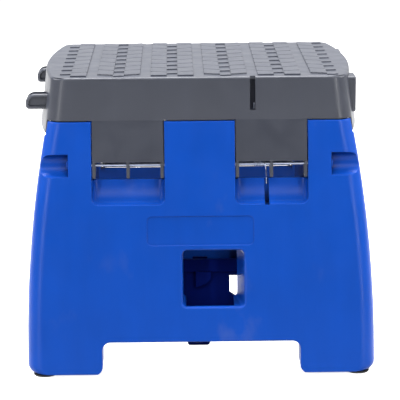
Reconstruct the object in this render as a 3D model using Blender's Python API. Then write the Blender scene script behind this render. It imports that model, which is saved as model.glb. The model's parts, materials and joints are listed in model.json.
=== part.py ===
"""Folding one-step stool, used as a mounting block.

Metres, +Z up, front towards -Y. The origin is on the floor under the middle
of the stool. A grey tread carries two blue leg panels on steel hinge pins.
Each panel splays outwards until its top edge rests on stops under the tread,
and folds inwards under the tread: the front panel first, then the rear one
below it. A latch lever on the front panel hooks a keeper under the tread.
"""

from math import acos, atan2, cos, pi, radians, sin, sqrt, tan

import bmesh
import bpy
from mathutils import Matrix, Vector

# ---------------------------------------------------------------- dimensions

STEP_HEIGHT = 0.305          # floor to the top of the tread bars
BAR_RISE = 0.0015            # the tread blocks stand this far above the plate
PLATE_TOP = STEP_HEIGHT - BAR_RISE
WALL = 0.0032                # moulded wall, both plastics
GAP = 0.0004                 # clearance between neighbouring pieces
BORE_GAP = 0.0001            # running clearance of a pin in its bore

TOP_HALF_DEPTH = 0.128       # front to back, at the plate
TOP_HALF_WIDTH = 0.1485      # side to side, at the front and back edges
SIDE_BOW = 0.0125            # the sides bow out by this much in the middle
TOP_CORNER = 0.009           # plan radius of the tread's corners
TOP_EDGE = 0.0025            # radius of the tread's upper edge
FRONT_FLARE = 0.0455         # skirts lean out as they go down (run over drop)
SIDE_FLARE = 0.125

FRONT_SKIRT_Z = 0.260        # lower edge of the front skirt
REAR_SKIRT_Z = 0.221         # lower edge of the rear skirt
SIDE_SKIRT_Z = 0.246         # lower edge of the side skirts
FOOT_REACH = 0.169           # outer face of each open panel at its foot
PIN_DROP = 0.0455            # hinge axis below its skirt's edge
PIN_SETBACK = 0.005          # hinge axis behind the panel's outer face
PIN_RADIUS = 0.0016

TAB_X = 0.0733               # centre of each hinge tab
TAB_HALF = 0.0364            # half the width of a tab
TAB_CLEARANCE = 0.0009       # between a tab and its notch
TAB_NOSE = 0.014             # ribs end in an arc of this radius about the pin
FRONT_TAB_LOW = 0.0031       # lower edge of a front tab's plate, above the pin
REAR_TAB_LOW = -0.0175       # the rear tabs reach below the pin and hide it
RIB = 0.0032

COLUMN = 0.0273              # from one column of tread blocks to the next
BLOCK_HALF = 0.0083          # half the width of a block
ROW = 0.0289                 # from one row of blocks to the next
GROOVE = 0.0022              # between the rows
CHEVRON = 0.006              # a block's ends run back by this much
BLOCK_REACH = 0.1195         # the blocks end here, front and back
TIE_HALF = 0.0045            # half the depth of a tie between two columns

PANEL_DEPTH = 0.035          # thickness of a leg panel, with its ribs
PANEL_GAP = 0.0012           # between a panel's top edge and its skirt
SIDE_ROUND = 0.010           # radius of a panel's front side edges
FOOT_CORNER = 0.009          # radius of its lower outer corners
FOOT_HALF_WIDTH = 0.179      # a panel's half width near the floor
PANEL_NARROWING = 0.023      # it is narrower by this much near the top
FOOT_Z = 0.002               # the panel ends here, above its rubber feet
FOOT_BACK = 0.0126           # middle of each rubber foot, behind the panel's face
CUTOUT_HALF = 0.1016         # half the width of the gap between the legs
CUTOUT_Z = 0.0347            # top of that gap
CUTOUT_CORNER = 0.008        # radius of its corners
SCOOP_CORNER = 0.007         # radius of the sides of the finger scoops
SWING_RADIUS = 0.0305        # the panel's inner top is trimmed to this arc

WINDOW_LOW = (-0.0186, 0.0704)     # hand hold, lower left corner (x, z)
WINDOW_HIGH = (0.0444, 0.1275)     # upper right corner
BADGE_HALF = 0.0547
BADGE_Z = (0.1330, 0.1625)

LINK_Y = 0.090               # linking lugs and sockets, each side of the middle
BOSS_X = 0.162               # outer face of the pads around the sockets
LUG_TIP_X = 0.1787
LUG_Z = (0.267, 0.283)

PIN_X = (0.0322, 0.1308)     # ends of each hinge pin
GROOVE_X = (0.1313, 0.1345)  # end wall of each pin groove, where its plug sits
PLUG_RADIUS = 0.0030         # hole for the plug

SPRING_X = (0.0560, 0.0670)  # ends of the torsion spring's coil
SPRING_WIRE = 0.0006         # wire radius
SPRING_RADIUS = 0.0026       # coil radius, to the middle of the wire
SPRING_TURNS = 7

LATCH_Z = 0.103              # latch lever's pivot, height at rest
LATCH_DEPTH = 0.0385         # and its distance behind the panel's face
LATCH_PIN_RADIUS = 0.0015
LATCH_BAR_X = (-0.0200, 0.0458)    # ends of the lever's cross bar
LATCH_EAR_X = (-0.0212, 0.0470)    # inner faces of the ears that hold its pin
FOLD_ANGLE = radians(98.0)   # front panel, from open to folded


def face_distance(z, skirt_z):
    """Distance of a panel's outer face from the middle plane at height z."""
    skirt = TOP_HALF_DEPTH + FRONT_FLARE * (PLATE_TOP - skirt_z)
    lean = (FOOT_REACH - skirt) / (skirt_z - FOOT_Z)
    return skirt + (skirt_z - z) * lean


def pin_position(skirt_z):
    """(y, z) of a hinge axis, as on the front side."""
    z = skirt_z - PIN_DROP
    return -(face_distance(z, skirt_z) - PIN_SETBACK), z


def folded(depth, z):
    """(y, z) of a point of the front panel once it is folded under the tread."""
    pin_y, pin_z = pin_position(FRONT_SKIRT_Z)
    out = depth - face_distance(z, FRONT_SKIRT_Z) - pin_y
    up = z - pin_z
    return (pin_y + out * cos(FOLD_ANGLE) - up * sin(FOLD_ANGLE),
            pin_z + out * sin(FOLD_ANGLE) + up * cos(FOLD_ANGLE))


def panel_half_width(z):
    """Half width of a leg panel: a parabola, vertical near the floor."""
    rise = max(0.0, (z - 0.030) / 0.229)
    return FOOT_HALF_WIDTH - PANEL_NARROWING * rise * rise


# ------------------------------------------------------------ scene and tools

def clear_scene():
    for item in list(bpy.data.objects):
        bpy.data.objects.remove(item, do_unlink=True)
    for group in list(bpy.data.collections):
        bpy.data.collections.remove(group)


def new_collection(name):
    group = bpy.data.collections.new(name)
    bpy.context.scene.collection.children.link(group)
    return group


def make_material(name, colour, roughness, metallic=0.0):
    material = bpy.data.materials.new(name)
    material.use_nodes = True
    shader = material.node_tree.nodes["Principled BSDF"]
    shader.inputs["Base Color"].default_value = (*colour, 1.0)
    shader.inputs["Roughness"].default_value = roughness
    shader.inputs["Metallic"].default_value = metallic
    material.diffuse_color = (*colour, 1.0)
    return material


def add_mesh(name, bm, group, material=None):
    """Turn a bmesh into an object in the given collection."""
    bmesh.ops.recalc_face_normals(bm, faces=bm.faces)
    mesh = bpy.data.meshes.new(name)
    bm.to_mesh(mesh)
    bm.free()
    obj = bpy.data.objects.new(name, mesh)
    group.objects.link(obj)
    if material:
        mesh.materials.append(material)
    else:
        obj.hide_render = True
        obj.display_type = "WIRE"
    return obj


def box(bm, low, high):
    """Add a box between two corners."""
    size = Vector(high) - Vector(low)
    middle = (Vector(high) + Vector(low)) / 2
    matrix = Matrix.Translation(middle) @ Matrix.Diagonal((*size, 1.0))
    bmesh.ops.create_cube(bm, size=1.0, matrix=matrix)


def cylinder_x(bm, radius, x_low, x_high, y, z, segments=20):
    """Add a cylinder whose axis lies along X."""
    matrix = Matrix.Translation(((x_low + x_high) / 2, y, z)) @ Matrix.Rotation(pi / 2, 4, "Y")
    bmesh.ops.create_cone(bm, cap_ends=True, segments=segments, radius1=radius,
                          radius2=radius, depth=x_high - x_low, matrix=matrix)


def cylinder_z(bm, radius, x, y, z_low, z_high, segments=24):
    """Add an upright cylinder."""
    matrix = Matrix.Translation((x, y, (z_low + z_high) / 2))
    bmesh.ops.create_cone(bm, cap_ends=True, segments=segments, radius1=radius,
                          radius2=radius, depth=z_high - z_low, matrix=matrix)


def prism(bm, outline, low, high, axis="x"):
    """Extrude a closed outline along X, as (y, z), or along Y, as (x, z), or Z, as (x, y)."""
    place = {
        "x": lambda a, b: Vector((low, a, b)),
        "y": lambda a, b: Vector((a, low, b)),
        "z": lambda a, b: Vector((a, b, low)),
    }[axis]
    step = {"x": (1, 0, 0), "y": (0, 1, 0), "z": (0, 0, 1)}[axis]
    face = bm.faces.new([bm.verts.new(place(a, b)) for a, b in outline])
    side = bmesh.ops.extrude_face_region(bm, geom=[face])
    moved = [v for v in side["geom"] if isinstance(v, bmesh.types.BMVert)]
    bmesh.ops.translate(bm, verts=moved, vec=Vector(step) * (high - low))


def loft(bm, rings):
    """Close a skin over rings of equal length, lowest to highest."""
    loops = [[bm.verts.new(point) for point in ring] for ring in rings]
    count = len(loops[0])
    for lower, upper in zip(loops, loops[1:]):
        for i in range(count):
            j = (i + 1) % count
            bm.faces.new((lower[i], lower[j], upper[j], upper[i]))
    bm.faces.new(list(reversed(loops[0])))
    bm.faces.new(loops[-1])


def rounded(corners, segments=4):
    """Round a polygon's corners, each given as (a, b, radius)."""
    points = []
    count = len(corners)
    for i, (a, b, radius) in enumerate(corners):
        here = Vector((a, b))
        if radius <= 0.0:
            points.append((a, b))
            continue
        back = (Vector(corners[i - 1][:2]) - here).normalized()
        ahead = (Vector(corners[(i + 1) % count][:2]) - here).normalized()
        half = acos(max(-1.0, min(1.0, back.dot(ahead)))) / 2
        centre = here + (back + ahead).normalized() * radius / sin(half)
        start = here + back * radius / tan(half) - centre
        end = here + ahead * radius / tan(half) - centre
        first = atan2(start.y, start.x)
        turn = (atan2(end.y, end.x) - first + pi) % (2 * pi) - pi
        for k in range(segments + 1):
            angle = first + turn * k / segments
            points.append((centre.x + radius * cos(angle), centre.y + radius * sin(angle)))
    return points


def boolean(obj, tool, operation):
    """Join or cut an object with another object, live."""
    modifier = obj.modifiers.new(tool.name, "BOOLEAN")
    modifier.operation = operation
    modifier.solver = "EXACT"
    modifier.use_self = True
    modifier.object = tool


def set_origin(obj, point):
    """Put an object's origin at a point without moving its shape."""
    obj.data.transform(Matrix.Translation(-Vector(point)))
    obj.location = point


def on_side(obj, rear):
    """Turn a piece made for the front half turn about Z, for the rear."""
    if rear:
        obj.data.transform(Matrix.Rotation(pi, 4, "Z"))
    return obj


# --------------------------------------------------------------------- tread

def top_outline(z, inset=0.0):
    """Plan outline of the tread at height z, counterclockwise."""
    drop = PLATE_TOP - z
    half_x = TOP_HALF_WIDTH + SIDE_FLARE * drop - inset
    half_y = TOP_HALF_DEPTH + FRONT_FLARE * drop - inset
    radius = max(TOP_CORNER - inset, 0.002)
    steps = 10
    corners = [(-half_x, -half_y, radius), (half_x, -half_y, radius)]
    for k in range(1, steps):
        share = 2 * k / steps - 1
        corners.append((half_x + SIDE_BOW * (1 - share * share), half_y * share, 0.0))
    corners += [(half_x, half_y, radius), (-half_x, half_y, radius)]
    for k in range(1, steps):
        share = 1 - 2 * k / steps
        corners.append((-half_x - SIDE_BOW * (1 - share * share), half_y * share, 0.0))
    return rounded(corners, 3)


def ring(z, inset=0.0):
    return [(x, y, z) for x, y in top_outline(z, inset)]


def hinge_tab(bm, skirt_z):
    """Two hinge tabs with three ribs each, for the front side."""
    pin_y, pin_z = pin_position(skirt_z)
    rear = skirt_z == REAR_SKIRT_Z
    low = pin_z + (REAR_TAB_LOW if rear else FRONT_TAB_LOW)
    thick = 0.0011 if rear else 0.0022
    face = -face_distance(low, skirt_z)
    skirt = -face_distance(skirt_z, skirt_z)
    plate = [(face, low), (face + thick, low), (skirt + WALL - 0.0005, skirt_z + 0.0007),
             (skirt + WALL - 0.0009, skirt_z + 0.010), (skirt + 0.0009, skirt_z + 0.010),
             (skirt + 0.0001, skirt_z + 0.0005)]
    back = pin_y + TAB_NOSE
    nose = [(pin_y + TAB_NOSE * cos(a), pin_z + TAB_NOSE * sin(a))
            for a in (-radians(110) * k / 8 for k in range(9))]
    rib = [(back, PLATE_TOP - 0.0015)] + nose
    rib += [(face + 0.001, low + 0.002), (skirt + 0.001, skirt_z + 0.001),
            (0.0015 - TOP_HALF_DEPTH, PLATE_TOP - 0.0015)]
    for side in (-1, 1):
        middle = side * TAB_X
        prism(bm, plate, middle - TAB_HALF + 0.0003, middle + TAB_HALF - 0.0003)
        for shift in (-TAB_HALF + RIB / 2, 0.0, TAB_HALF - RIB / 2):
            prism(bm, rib, middle + shift - RIB / 2, middle + shift + RIB / 2)


def panel_stops(bm, skirt_z):
    """Plates behind the skirt on which the open panel rests, and lips that hide its top edge."""
    skirt = -face_distance(skirt_z, skirt_z)
    front = skirt + WALL + GAP
    for x in (-0.136, -0.018, 0.018, 0.136):
        box(bm, (x - RIB / 2, front, skirt_z - 0.010), (x + RIB / 2, front + 0.010, PLATE_TOP - 0.0015))
    lip = [(skirt + WALL - 0.0008, skirt_z + 0.0016), (skirt + WALL - 0.0010, skirt_z + 0.0060),
           (front + 0.0018, skirt_z + 0.0060), (front + 0.0018, skirt_z - 0.0030),
           (front + 0.0002, skirt_z - 0.0030), (front + 0.0002, skirt_z + 0.0016)]
    side = TOP_HALF_WIDTH + SIDE_FLARE * (PLATE_TOP - skirt_z) - WALL
    for low, high in ((0.0022 - side, -0.1146), (-0.0318, 0.0318), (0.1146, side - 0.0022)):
        prism(bm, lip, low, high)
    for low, high in ((-0.0008 - side, 0.0067 - side), (side - 0.0067, side + 0.0008)):
        box(bm, (low, front + 0.0036, skirt_z - 0.0032), (high, front + 0.0070, skirt_z + 0.0062))


def tread_block(bm, x, low, high, lean):
    """One raised block; its ends run back by `lean` towards one side."""
    outline = []
    for side, y in ((-1, low), (1, low), (1, high), (-1, high)):
        run = CHEVRON if side == lean else 0.0
        outline.append((x + side * BLOCK_HALF, max(-BLOCK_REACH, min(BLOCK_REACH, y + run))))
    prism(bm, outline, PLATE_TOP - 0.0006, STEP_HEIGHT, "z")


def tread_pattern(bm):
    """Ten columns of raised blocks; six columns of short ties, beside or between them."""
    for column in range(10):
        x = (column - 4.5) * COLUMN
        lean = -1 if column % 2 else 1
        tie = (column + 1) // 2
        first = 0.0 if tie % 2 else ROW / 2
        for row in range(-6, 5):
            low = first + row * ROW + GROOVE / 2
            high = first + (row + 1) * ROW - GROOVE / 2
            if high > -BLOCK_REACH + 0.003 and low < BLOCK_REACH - CHEVRON - 0.003:
                tread_block(bm, x, low, high, lean)
    for tie in range(6):
        x = (tie - 2.5) * 2 * COLUMN
        half = COLUMN / 2 - BLOCK_HALF + 0.0007
        for row in range(-4, 5):
            y = row * ROW + (0.0 if tie % 2 else ROW / 2)
            if abs(y) < BLOCK_REACH - 0.003:
                outline = [(x - half, y - TIE_HALF - 0.001), (x + half, y - TIE_HALF + 0.001),
                           (x + half, y + TIE_HALF + 0.001), (x - half, y + TIE_HALF - 0.001)]
                prism(bm, outline, PLATE_TOP - 0.0003, STEP_HEIGHT - 0.0003, "z")


def link_features(bm):
    """Pads with sockets on the right, and rounded lugs on the left."""
    for y in (-LINK_Y, LINK_Y):
        box(bm, (0.1515, y - 0.0145, 0.262), (BOSS_X, y + 0.0145, 0.299))
    low, high = LUG_Z
    root = -0.1543
    profile = rounded([(root, low, 0), (root, high, 0), (-LUG_TIP_X, high, 0.008),
                       (-LUG_TIP_X, low, 0.0015)])
    for y in (-LINK_Y, LINK_Y):
        prism(bm, profile, y - 0.010, y + 0.010, "y")


def keeper(bm):
    """Hook under the plate that the latch lever's barb catches."""
    y, z = folded(0.055, 0.108)
    box(bm, (-0.010, y - 0.0067, z - 0.0046), (0.010, y - 0.0037, PLATE_TOP - 0.0015))
    box(bm, (-0.010, y - 0.0050, z - 0.0046), (0.010, y - 0.0009, z - 0.0013))


def tread_solid_parts(bm):
    for skirt_z, rear in ((FRONT_SKIRT_Z, False), (REAR_SKIRT_Z, True)):
        half = bmesh.new()
        hinge_tab(half, skirt_z)
        panel_stops(half, skirt_z)
        if rear:
            bmesh.ops.rotate(half, verts=half.verts, matrix=Matrix.Rotation(pi, 3, "Z"))
        mesh = bpy.data.meshes.new("half")
        half.to_mesh(mesh)
        half.free()
        bm.from_mesh(mesh)
        bpy.data.meshes.remove(mesh)
    tread_pattern(bm)
    keeper(bm)
    for y in (-0.062, 0.0, 0.062):
        box(bm, (-0.1555, y - 0.0012, PLATE_TOP - 0.009), (0.1555, y + 0.0012, PLATE_TOP - 0.001))
    for x in (-0.110, -0.0369, 0.0369, 0.110):
        box(bm, (x - 0.0012, -0.126, PLATE_TOP - 0.009), (x + 0.0012, 0.126, PLATE_TOP - 0.001))


def make_tread(parts, cutters, material):
    """The grey moulding: plate, skirts, tabs, ribs, lugs and sockets."""
    shell = bmesh.new()
    rings = [ring(REAR_SKIRT_Z)]
    for k in range(4):
        angle = pi / 2 * k / 3
        rings.append(ring(PLATE_TOP - TOP_EDGE * (1 - sin(angle)), TOP_EDGE * (1 - cos(angle))))
    loft(shell, rings)
    tread = add_mesh("tread", shell, parts, material)

    pads = bmesh.new()
    link_features(pads)
    boolean(tread, add_mesh("tread_pads", pads, cutters), "UNION")

    hollow = bmesh.new()
    loft(hollow, [ring(0.190, WALL), ring(PLATE_TOP - WALL, WALL)])
    cut = add_mesh("tread_hollow", hollow, cutters)
    boolean(tread, cut, "DIFFERENCE")

    below = bmesh.new()
    box(below, (-0.2, -0.2, 0.1), (0.2, -0.118, FRONT_SKIRT_Z))
    box(below, (-0.2, -0.119, 0.1), (0.2, 0.097, SIDE_SKIRT_Z))
    cut = add_mesh("tread_skirt_trim", below, cutters)
    boolean(tread, cut, "DIFFERENCE")

    inner = bmesh.new()
    tread_solid_parts(inner)
    boolean(tread, add_mesh("tread_ribs", inner, cutters), "UNION")

    holes = bmesh.new()
    for skirt_z, turn in ((FRONT_SKIRT_Z, 1), (REAR_SKIRT_Z, -1)):
        pin_y, pin_z = pin_position(skirt_z)
        for side in (-1, 1):
            reach = TAB_HALF + 0.002
            cylinder_x(holes, PIN_RADIUS + BORE_GAP, side * TAB_X - reach, side * TAB_X + reach,
                       turn * pin_y, pin_z, 24)
    box(holes, (0.0516, -0.140, 0.2696), (0.0572, -0.1225, 0.310))
    box(holes, (-0.0572, 0.1225, 0.2696), (-0.0516, 0.140, 0.310))
    for y in (-LINK_Y, LINK_Y):
        box(holes, (0.140, y - 0.011, LUG_Z[0] - 0.001), (0.170, y + 0.011, LUG_Z[1] + 0.001))
    boolean(tread, add_mesh("tread_holes", holes, cutters), "DIFFERENCE")


# ---------------------------------------------------------------- leg panels

def panel_ring(z, inset, back):
    """Horizontal section of an upright panel, its front side edges rounded."""
    half = panel_half_width(z) - inset
    radius = FOOT_CORNER - inset
    lift = z - FOOT_Z - inset
    if lift < radius:
        half -= radius - sqrt(radius ** 2 - (radius - lift) ** 2)
    round_ = SIDE_ROUND - inset
    corners = [(-half, inset, round_), (half, inset, round_), (half, back, 0.0), (-half, back, 0.0)]
    return [(x, depth, z) for x, depth in rounded(corners, 4)]


def panel_body(bm, top, inset, back):
    """Skin over horizontal sections, from a panel's foot to `top`."""
    radius = FOOT_CORNER - inset
    low = FOOT_Z + inset
    heights = [low + radius * (1 - cos(pi / 2 * k / 4)) for k in range(5)]
    heights += [0.030 + (top - 0.030) * k / 7 for k in range(8)]
    loft(bm, [panel_ring(z, inset, back) for z in heights])


def cutout_outline(inset):
    """Front view of the gap between the legs, open at the floor."""
    half, top = CUTOUT_HALF + inset, CUTOUT_Z + inset
    low = FOOT_Z - 0.0003
    wide = half + 0.015
    radius = CUTOUT_CORNER
    return rounded([(-wide, -0.010, 0.0), (wide, -0.010, 0.0), (wide, low, 0.0), (half, low, radius),
                    (half, top, radius), (-half, top, radius), (-half, low, radius),
                    (-wide, low, 0.0)], 4)


def shear_to_face(bm, skirt_z):
    """Move a panel made upright at y = 0 on to its leaning face."""
    for vert in bm.verts:
        vert.co.y -= face_distance(vert.co.z, skirt_z)


def scoop_section(x, pin_z, shrink):
    """Section of the finger scoop under a tab at x: a quarter ellipse."""
    top, height = pin_z - 0.0165, 0.0235 - shrink
    depth = 0.014 - shrink
    arc = [(depth * cos(a), top - height * sin(a)) for a in (pi / 2 * k / 7 for k in range(8))]
    outline = [(depth, top + 0.002)] + arc + [(-0.004, top - height), (-0.004, top + 0.002)]
    return [(x, out, z) for out, z in outline]


def scoop(bm, middle, half, pin_z):
    """Finger scoop whose side walls and lower corners are rounded."""
    sections = []
    for side in (-1, 1):
        for k in range(5)[::-side]:
            inward = SCOOP_CORNER * (1 - cos(pi / 2 * k / 4))
            shrink = SCOOP_CORNER * (1 - sin(pi / 2 * k / 4))
            sections.append(scoop_section(middle + side * (half - inward), pin_z, shrink))
    loft(bm, sections)


def groove_bows(bm, pin_z):
    """Half round walls behind the pin grooves, to be left out of the hollow."""
    for side in (-1, 1):
        low, high = sorted((side * GROOVE_X[0], side * 0.200))
        bow = [(-0.010, pin_z - 0.0145)]
        bow += [(0.0012 + 0.0128 * cos(a), pin_z + 0.0145 * sin(a))
                for a in (pi * k / 12 - pi / 2 for k in range(13))]
        bow += [(-0.010, pin_z + 0.0145)]
        prism(bm, bow, low, high)


def latch_ears(bm):
    """Ears beside the window frame that hold the latch lever's pin."""
    left, right = LATCH_EAR_X
    for low, high in ((left - 0.0034, left), (right, right + 0.0034)):
        box(bm, (low, 0.010, LATCH_Z - 0.006), (high, LATCH_DEPTH + 0.0045, LATCH_Z + 0.006))


def panel_blocks(bm, skirt_z, rear):
    """Solid blocks behind the face: window frame, scoops, ears, grooves and ribs."""
    pin_z = skirt_z - PIN_DROP
    depth = PANEL_DEPTH
    (x0, z0), (x1, z1) = WINDOW_LOW, WINDOW_HIGH
    box(bm, (x0 - WALL, 0.001, z0 - WALL), (x1 + WALL, depth, z1 + WALL))
    arch = CUTOUT_HALF + WALL
    prism(bm, rounded([(-arch, FOOT_Z + GAP, 0.0), (arch, FOOT_Z + GAP, 0.0),
                       (arch, CUTOUT_Z + WALL, 0.010), (-arch, CUTOUT_Z + WALL, 0.010)]),
          0.0014, depth - GAP, "y")
    if not rear:
        latch_ears(bm)
    for side in (-1, 1):
        middle = side * TAB_X
        inner = TAB_HALF + TAB_CLEARANCE
        box(bm, (middle - inner - WALL, 0.001, pin_z - 0.043),
            (middle + inner + WALL, 0.0175, pin_z - 0.0165))
        for edge in (-1, 1):
            low, high = sorted((middle + edge * (inner + GAP), middle + edge * (inner + WALL - GAP)))
            box(bm, (low, 0.0014, pin_z - 0.018), (high, 0.024, skirt_z - PANEL_GAP - 0.0006))
        low, high = sorted((side * 0.0296, side * 0.0345))
        box(bm, (low, 0.0014, pin_z - 0.0045), (high, 0.0098, pin_z + 0.0045))
    for x in (-0.140, -0.060, 0.0775, 0.140):
        top = pin_z - 0.040 if abs(x) < 0.120 else pin_z - 0.008
        low = CUTOUT_Z + 0.001 if abs(x) < CUTOUT_HALF else FOOT_Z + 0.001
        box(bm, (x - 0.0012, 0.002, low), (x + 0.0012, depth - 0.004, top))


def panel_cuts(bm, skirt_z, rear):
    """Everything cut from a panel after its blocks are joined."""
    pin_z = skirt_z - PIN_DROP
    depth = PANEL_DEPTH
    (x0, z0), (x1, z1) = WINDOW_LOW, WINDOW_HIGH
    front = [(x, -0.001, z) for x, z in rounded(
        [(x0, z0, 0.003), (x1, z0, 0.003), (x1, z1, 0.004), (x0, z1, 0.004)], 3)]
    back = [(x, depth + 0.001, z) for x, z in rounded(
        [(x0 + 0.001, z0 + 0.0025, 0.003), (x1 - 0.0065, z0 + 0.0025, 0.003),
         (x1 - 0.0065, z1 - 0.002, 0.004), (x0 + 0.001, z1 - 0.002, 0.004)], 3)]
    loft(bm, [front, back])
    if not rear:
        box(bm, (x0 + 0.0035, WALL + 0.0008, z0 - 0.0060), (x1 - 0.0100, depth + 0.0010, z0 + 0.0045))
    for side in (-1, 1):
        middle = side * TAB_X
        inner = TAB_HALF + TAB_CLEARANCE
        box(bm, (middle - inner, -0.005, pin_z - 0.0155), (middle + inner, 0.0045, skirt_z + 0.010))
        scoop(bm, middle, inner - GAP, pin_z)
        low, high = sorted((side * GROOVE_X[1], side * 0.200))
        cylinder_x(bm, 0.0115, low, high, -0.0012, pin_z, 24)
        cylinder_z(bm, 0.0043, side * 0.161, FOOT_BACK, -0.01, 0.012, 16)
    box(bm, (0.0663, -0.004, pin_z - 0.0412), (0.0708, 0.0156, pin_z - 0.0150))
    prism(bm, cutout_outline(0.0), -0.002, depth + 0.002, "y")
    if not rear:
        plate = rounded([(-BADGE_HALF, BADGE_Z[0], 0.005), (BADGE_HALF, BADGE_Z[0], 0.005),
                         (BADGE_HALF, BADGE_Z[1], 0.005), (-BADGE_HALF, BADGE_Z[1], 0.005)])
        prism(bm, plate, -0.003, 0.0008, "y")


def panel_bores(bm, skirt_z, rear):
    """Holes for the hinge pins, their plugs and the latch lever's pin."""
    pin_y, pin_z = pin_position(skirt_z)
    for side in (-1, 1):
        low, high = sorted((side * (PIN_X[0] - GAP), side * (PIN_X[1] - 0.006)))
        cylinder_x(bm, PIN_RADIUS + BORE_GAP, low, high, pin_y, pin_z, 24)
        low, high = sorted((side * (GROOVE_X[0] - 0.003), side * (GROOVE_X[1] + 0.003)))
        cylinder_x(bm, PLUG_RADIUS, low, high, pin_y, pin_z, 16)
    if not rear:
        y = LATCH_DEPTH - face_distance(LATCH_Z, skirt_z)
        cylinder_x(bm, LATCH_PIN_RADIUS + BORE_GAP, -0.030, 0.056, y, LATCH_Z, 24)


def swing_trim(bm, skirt_z):
    """Clearance arc about the pin, so that the panel can swing under the skirt."""
    pin_z = skirt_z - PIN_DROP
    arc = []
    for k in range(9):
        angle = radians(80) * k / 8
        arc.append((PIN_SETBACK + SWING_RADIUS * cos(angle), pin_z + SWING_RADIUS * sin(angle)))
    outline = [(0.080, pin_z)] + arc + [(arc[-1][0], skirt_z + 0.02), (0.080, skirt_z + 0.02)]
    prism(bm, outline, -0.25, 0.25)


def panel_piece(name, fill, skirt_z, rear, cutters, upright=True):
    """One tool of a panel; one made upright is leaned to the face first."""
    bm = bmesh.new()
    fill(bm)
    if upright:
        shear_to_face(bm, skirt_z)
    return on_side(add_mesh(name, bm, cutters), rear)


def make_panel(name, skirt_z, rear, parts, cutters, material):
    """A leg panel: a tray with a window, scoops, ears and pin grooves."""
    outer = bmesh.new()
    panel_body(outer, skirt_z - PANEL_GAP, 0.0, PANEL_DEPTH)
    shear_to_face(outer, skirt_z)
    panel = on_side(add_mesh(name, outer, parts, material), rear)
    hollow = panel_piece(f"{name}_hollow", lambda bm: panel_body(bm, skirt_z + 0.010, WALL, 0.050),
                         skirt_z, rear, cutters)
    keep = panel_piece(f"{name}_bows", lambda bm: groove_bows(bm, skirt_z - PIN_DROP),
                       skirt_z, rear, cutters)
    boolean(hollow, keep, "DIFFERENCE")
    boolean(panel, hollow, "DIFFERENCE")
    tools = (
        ("blocks", "UNION", lambda bm: panel_blocks(bm, skirt_z, rear)),
        ("cuts", "DIFFERENCE", lambda bm: panel_cuts(bm, skirt_z, rear)),
        ("swing", "DIFFERENCE", lambda bm: swing_trim(bm, skirt_z)),
        ("bores", "DIFFERENCE", lambda bm: panel_bores(bm, skirt_z, rear)),
    )
    for label, operation, fill in tools:
        tool = panel_piece(f"{name}_{label}", fill, skirt_z, rear, cutters, label != "bores")
        boolean(panel, tool, operation)
    pin_y, pin_z = pin_position(skirt_z)
    set_origin(panel, (0.0, -pin_y if rear else pin_y, pin_z))


# ------------------------------------------------------------- metal and feet

def make_pins(parts, steel, blue):
    """Four hinge pins, each with a plug in the end wall of its groove."""
    for end, skirt_z, turn in (("front", FRONT_SKIRT_Z, 1), ("rear", REAR_SKIRT_Z, -1)):
        pin_y, pin_z = pin_position(skirt_z)
        for hand, side in (("left", -1), ("right", 1)):
            low, high = sorted((side * PIN_X[0], side * PIN_X[1]))
            bm = bmesh.new()
            cylinder_x(bm, PIN_RADIUS, low, high, turn * pin_y, pin_z, 16)
            add_mesh(f"hinge_pin_{end}_{hand}", bm, parts, steel)
            make_pin_plug(f"pin_plug_{end}_{hand}", side, turn * pin_y, pin_z, parts, blue)


def make_pin_plug(name, side, y, z, parts, blue):
    """A headed plug that keeps the pin in: a turned profile about X."""
    shank, head = PLUG_RADIUS - 0.0003, PLUG_RADIUS + 0.0012
    start, wall, end = GROOVE_X[0] + 0.0001, GROOVE_X[1] + 0.0003, GROOVE_X[1] + 0.0012
    bm = bmesh.new()
    rings = []
    for x, radius in ((start, shank), (wall, shank), (wall, head), (end, head - 0.0003)):
        rings.append([(side * x, y + radius * cos(2 * pi * k / 14), z + radius * sin(2 * pi * k / 14))
                      for k in range(14)])
    loft(bm, rings)
    add_mesh(name, bm, parts, blue)


def wire(name, points, radius, parts, material):
    """A wire along the given points, as a closed mesh."""
    curve = bpy.data.curves.new(name, "CURVE")
    curve.dimensions = "3D"
    curve.bevel_depth = radius
    curve.bevel_resolution = 2
    curve.use_fill_caps = True
    spline = curve.splines.new("POLY")
    spline.points.add(len(points) - 1)
    for point, place in zip(spline.points, points):
        point.co = (*place, 1.0)
    holder = bpy.data.objects.new(name + "_curve", curve)
    bpy.context.scene.collection.objects.link(holder)
    graph = bpy.context.evaluated_depsgraph_get()
    mesh = bpy.data.meshes.new_from_object(holder.evaluated_get(graph))
    bpy.data.objects.remove(holder, do_unlink=True)
    bm = bmesh.new()
    bm.from_mesh(mesh)
    bmesh.ops.remove_doubles(bm, verts=bm.verts, dist=0.00001)
    bpy.data.meshes.remove(mesh)
    return add_mesh(name, bm, parts, material)


def make_torsion_spring(name, skirt_z, rear, parts, steel):
    """Coil about the hinge pin, one leg up behind the skirt, one down in the panel's slot."""
    pin_y, pin_z = pin_position(skirt_z)
    start, end = SPRING_X
    upper = [(start, pin_y + 0.0085, skirt_z + 0.016), (start, pin_y + 0.0085, skirt_z + 0.002),
             (start, pin_y + 0.0040, pin_z + 0.006)]
    coil = []
    steps = SPRING_TURNS * 10
    for k in range(steps + 6):
        angle = -2 * pi * k / 10
        x = start + (end - start) * min(k / steps, 1.0)
        coil.append((x, pin_y + SPRING_RADIUS * cos(angle), pin_z + SPRING_RADIUS * sin(angle)))
    lower = [(end + 0.0006, pin_y - 0.0010, pin_z - 0.0060), (0.0685, pin_y + 0.0070, pin_z - 0.0160),
             (0.0685, pin_y + 0.0060, pin_z - 0.0225)]
    return on_side(wire(name, upper + coil + lower, SPRING_WIRE, parts, steel), rear)


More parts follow.
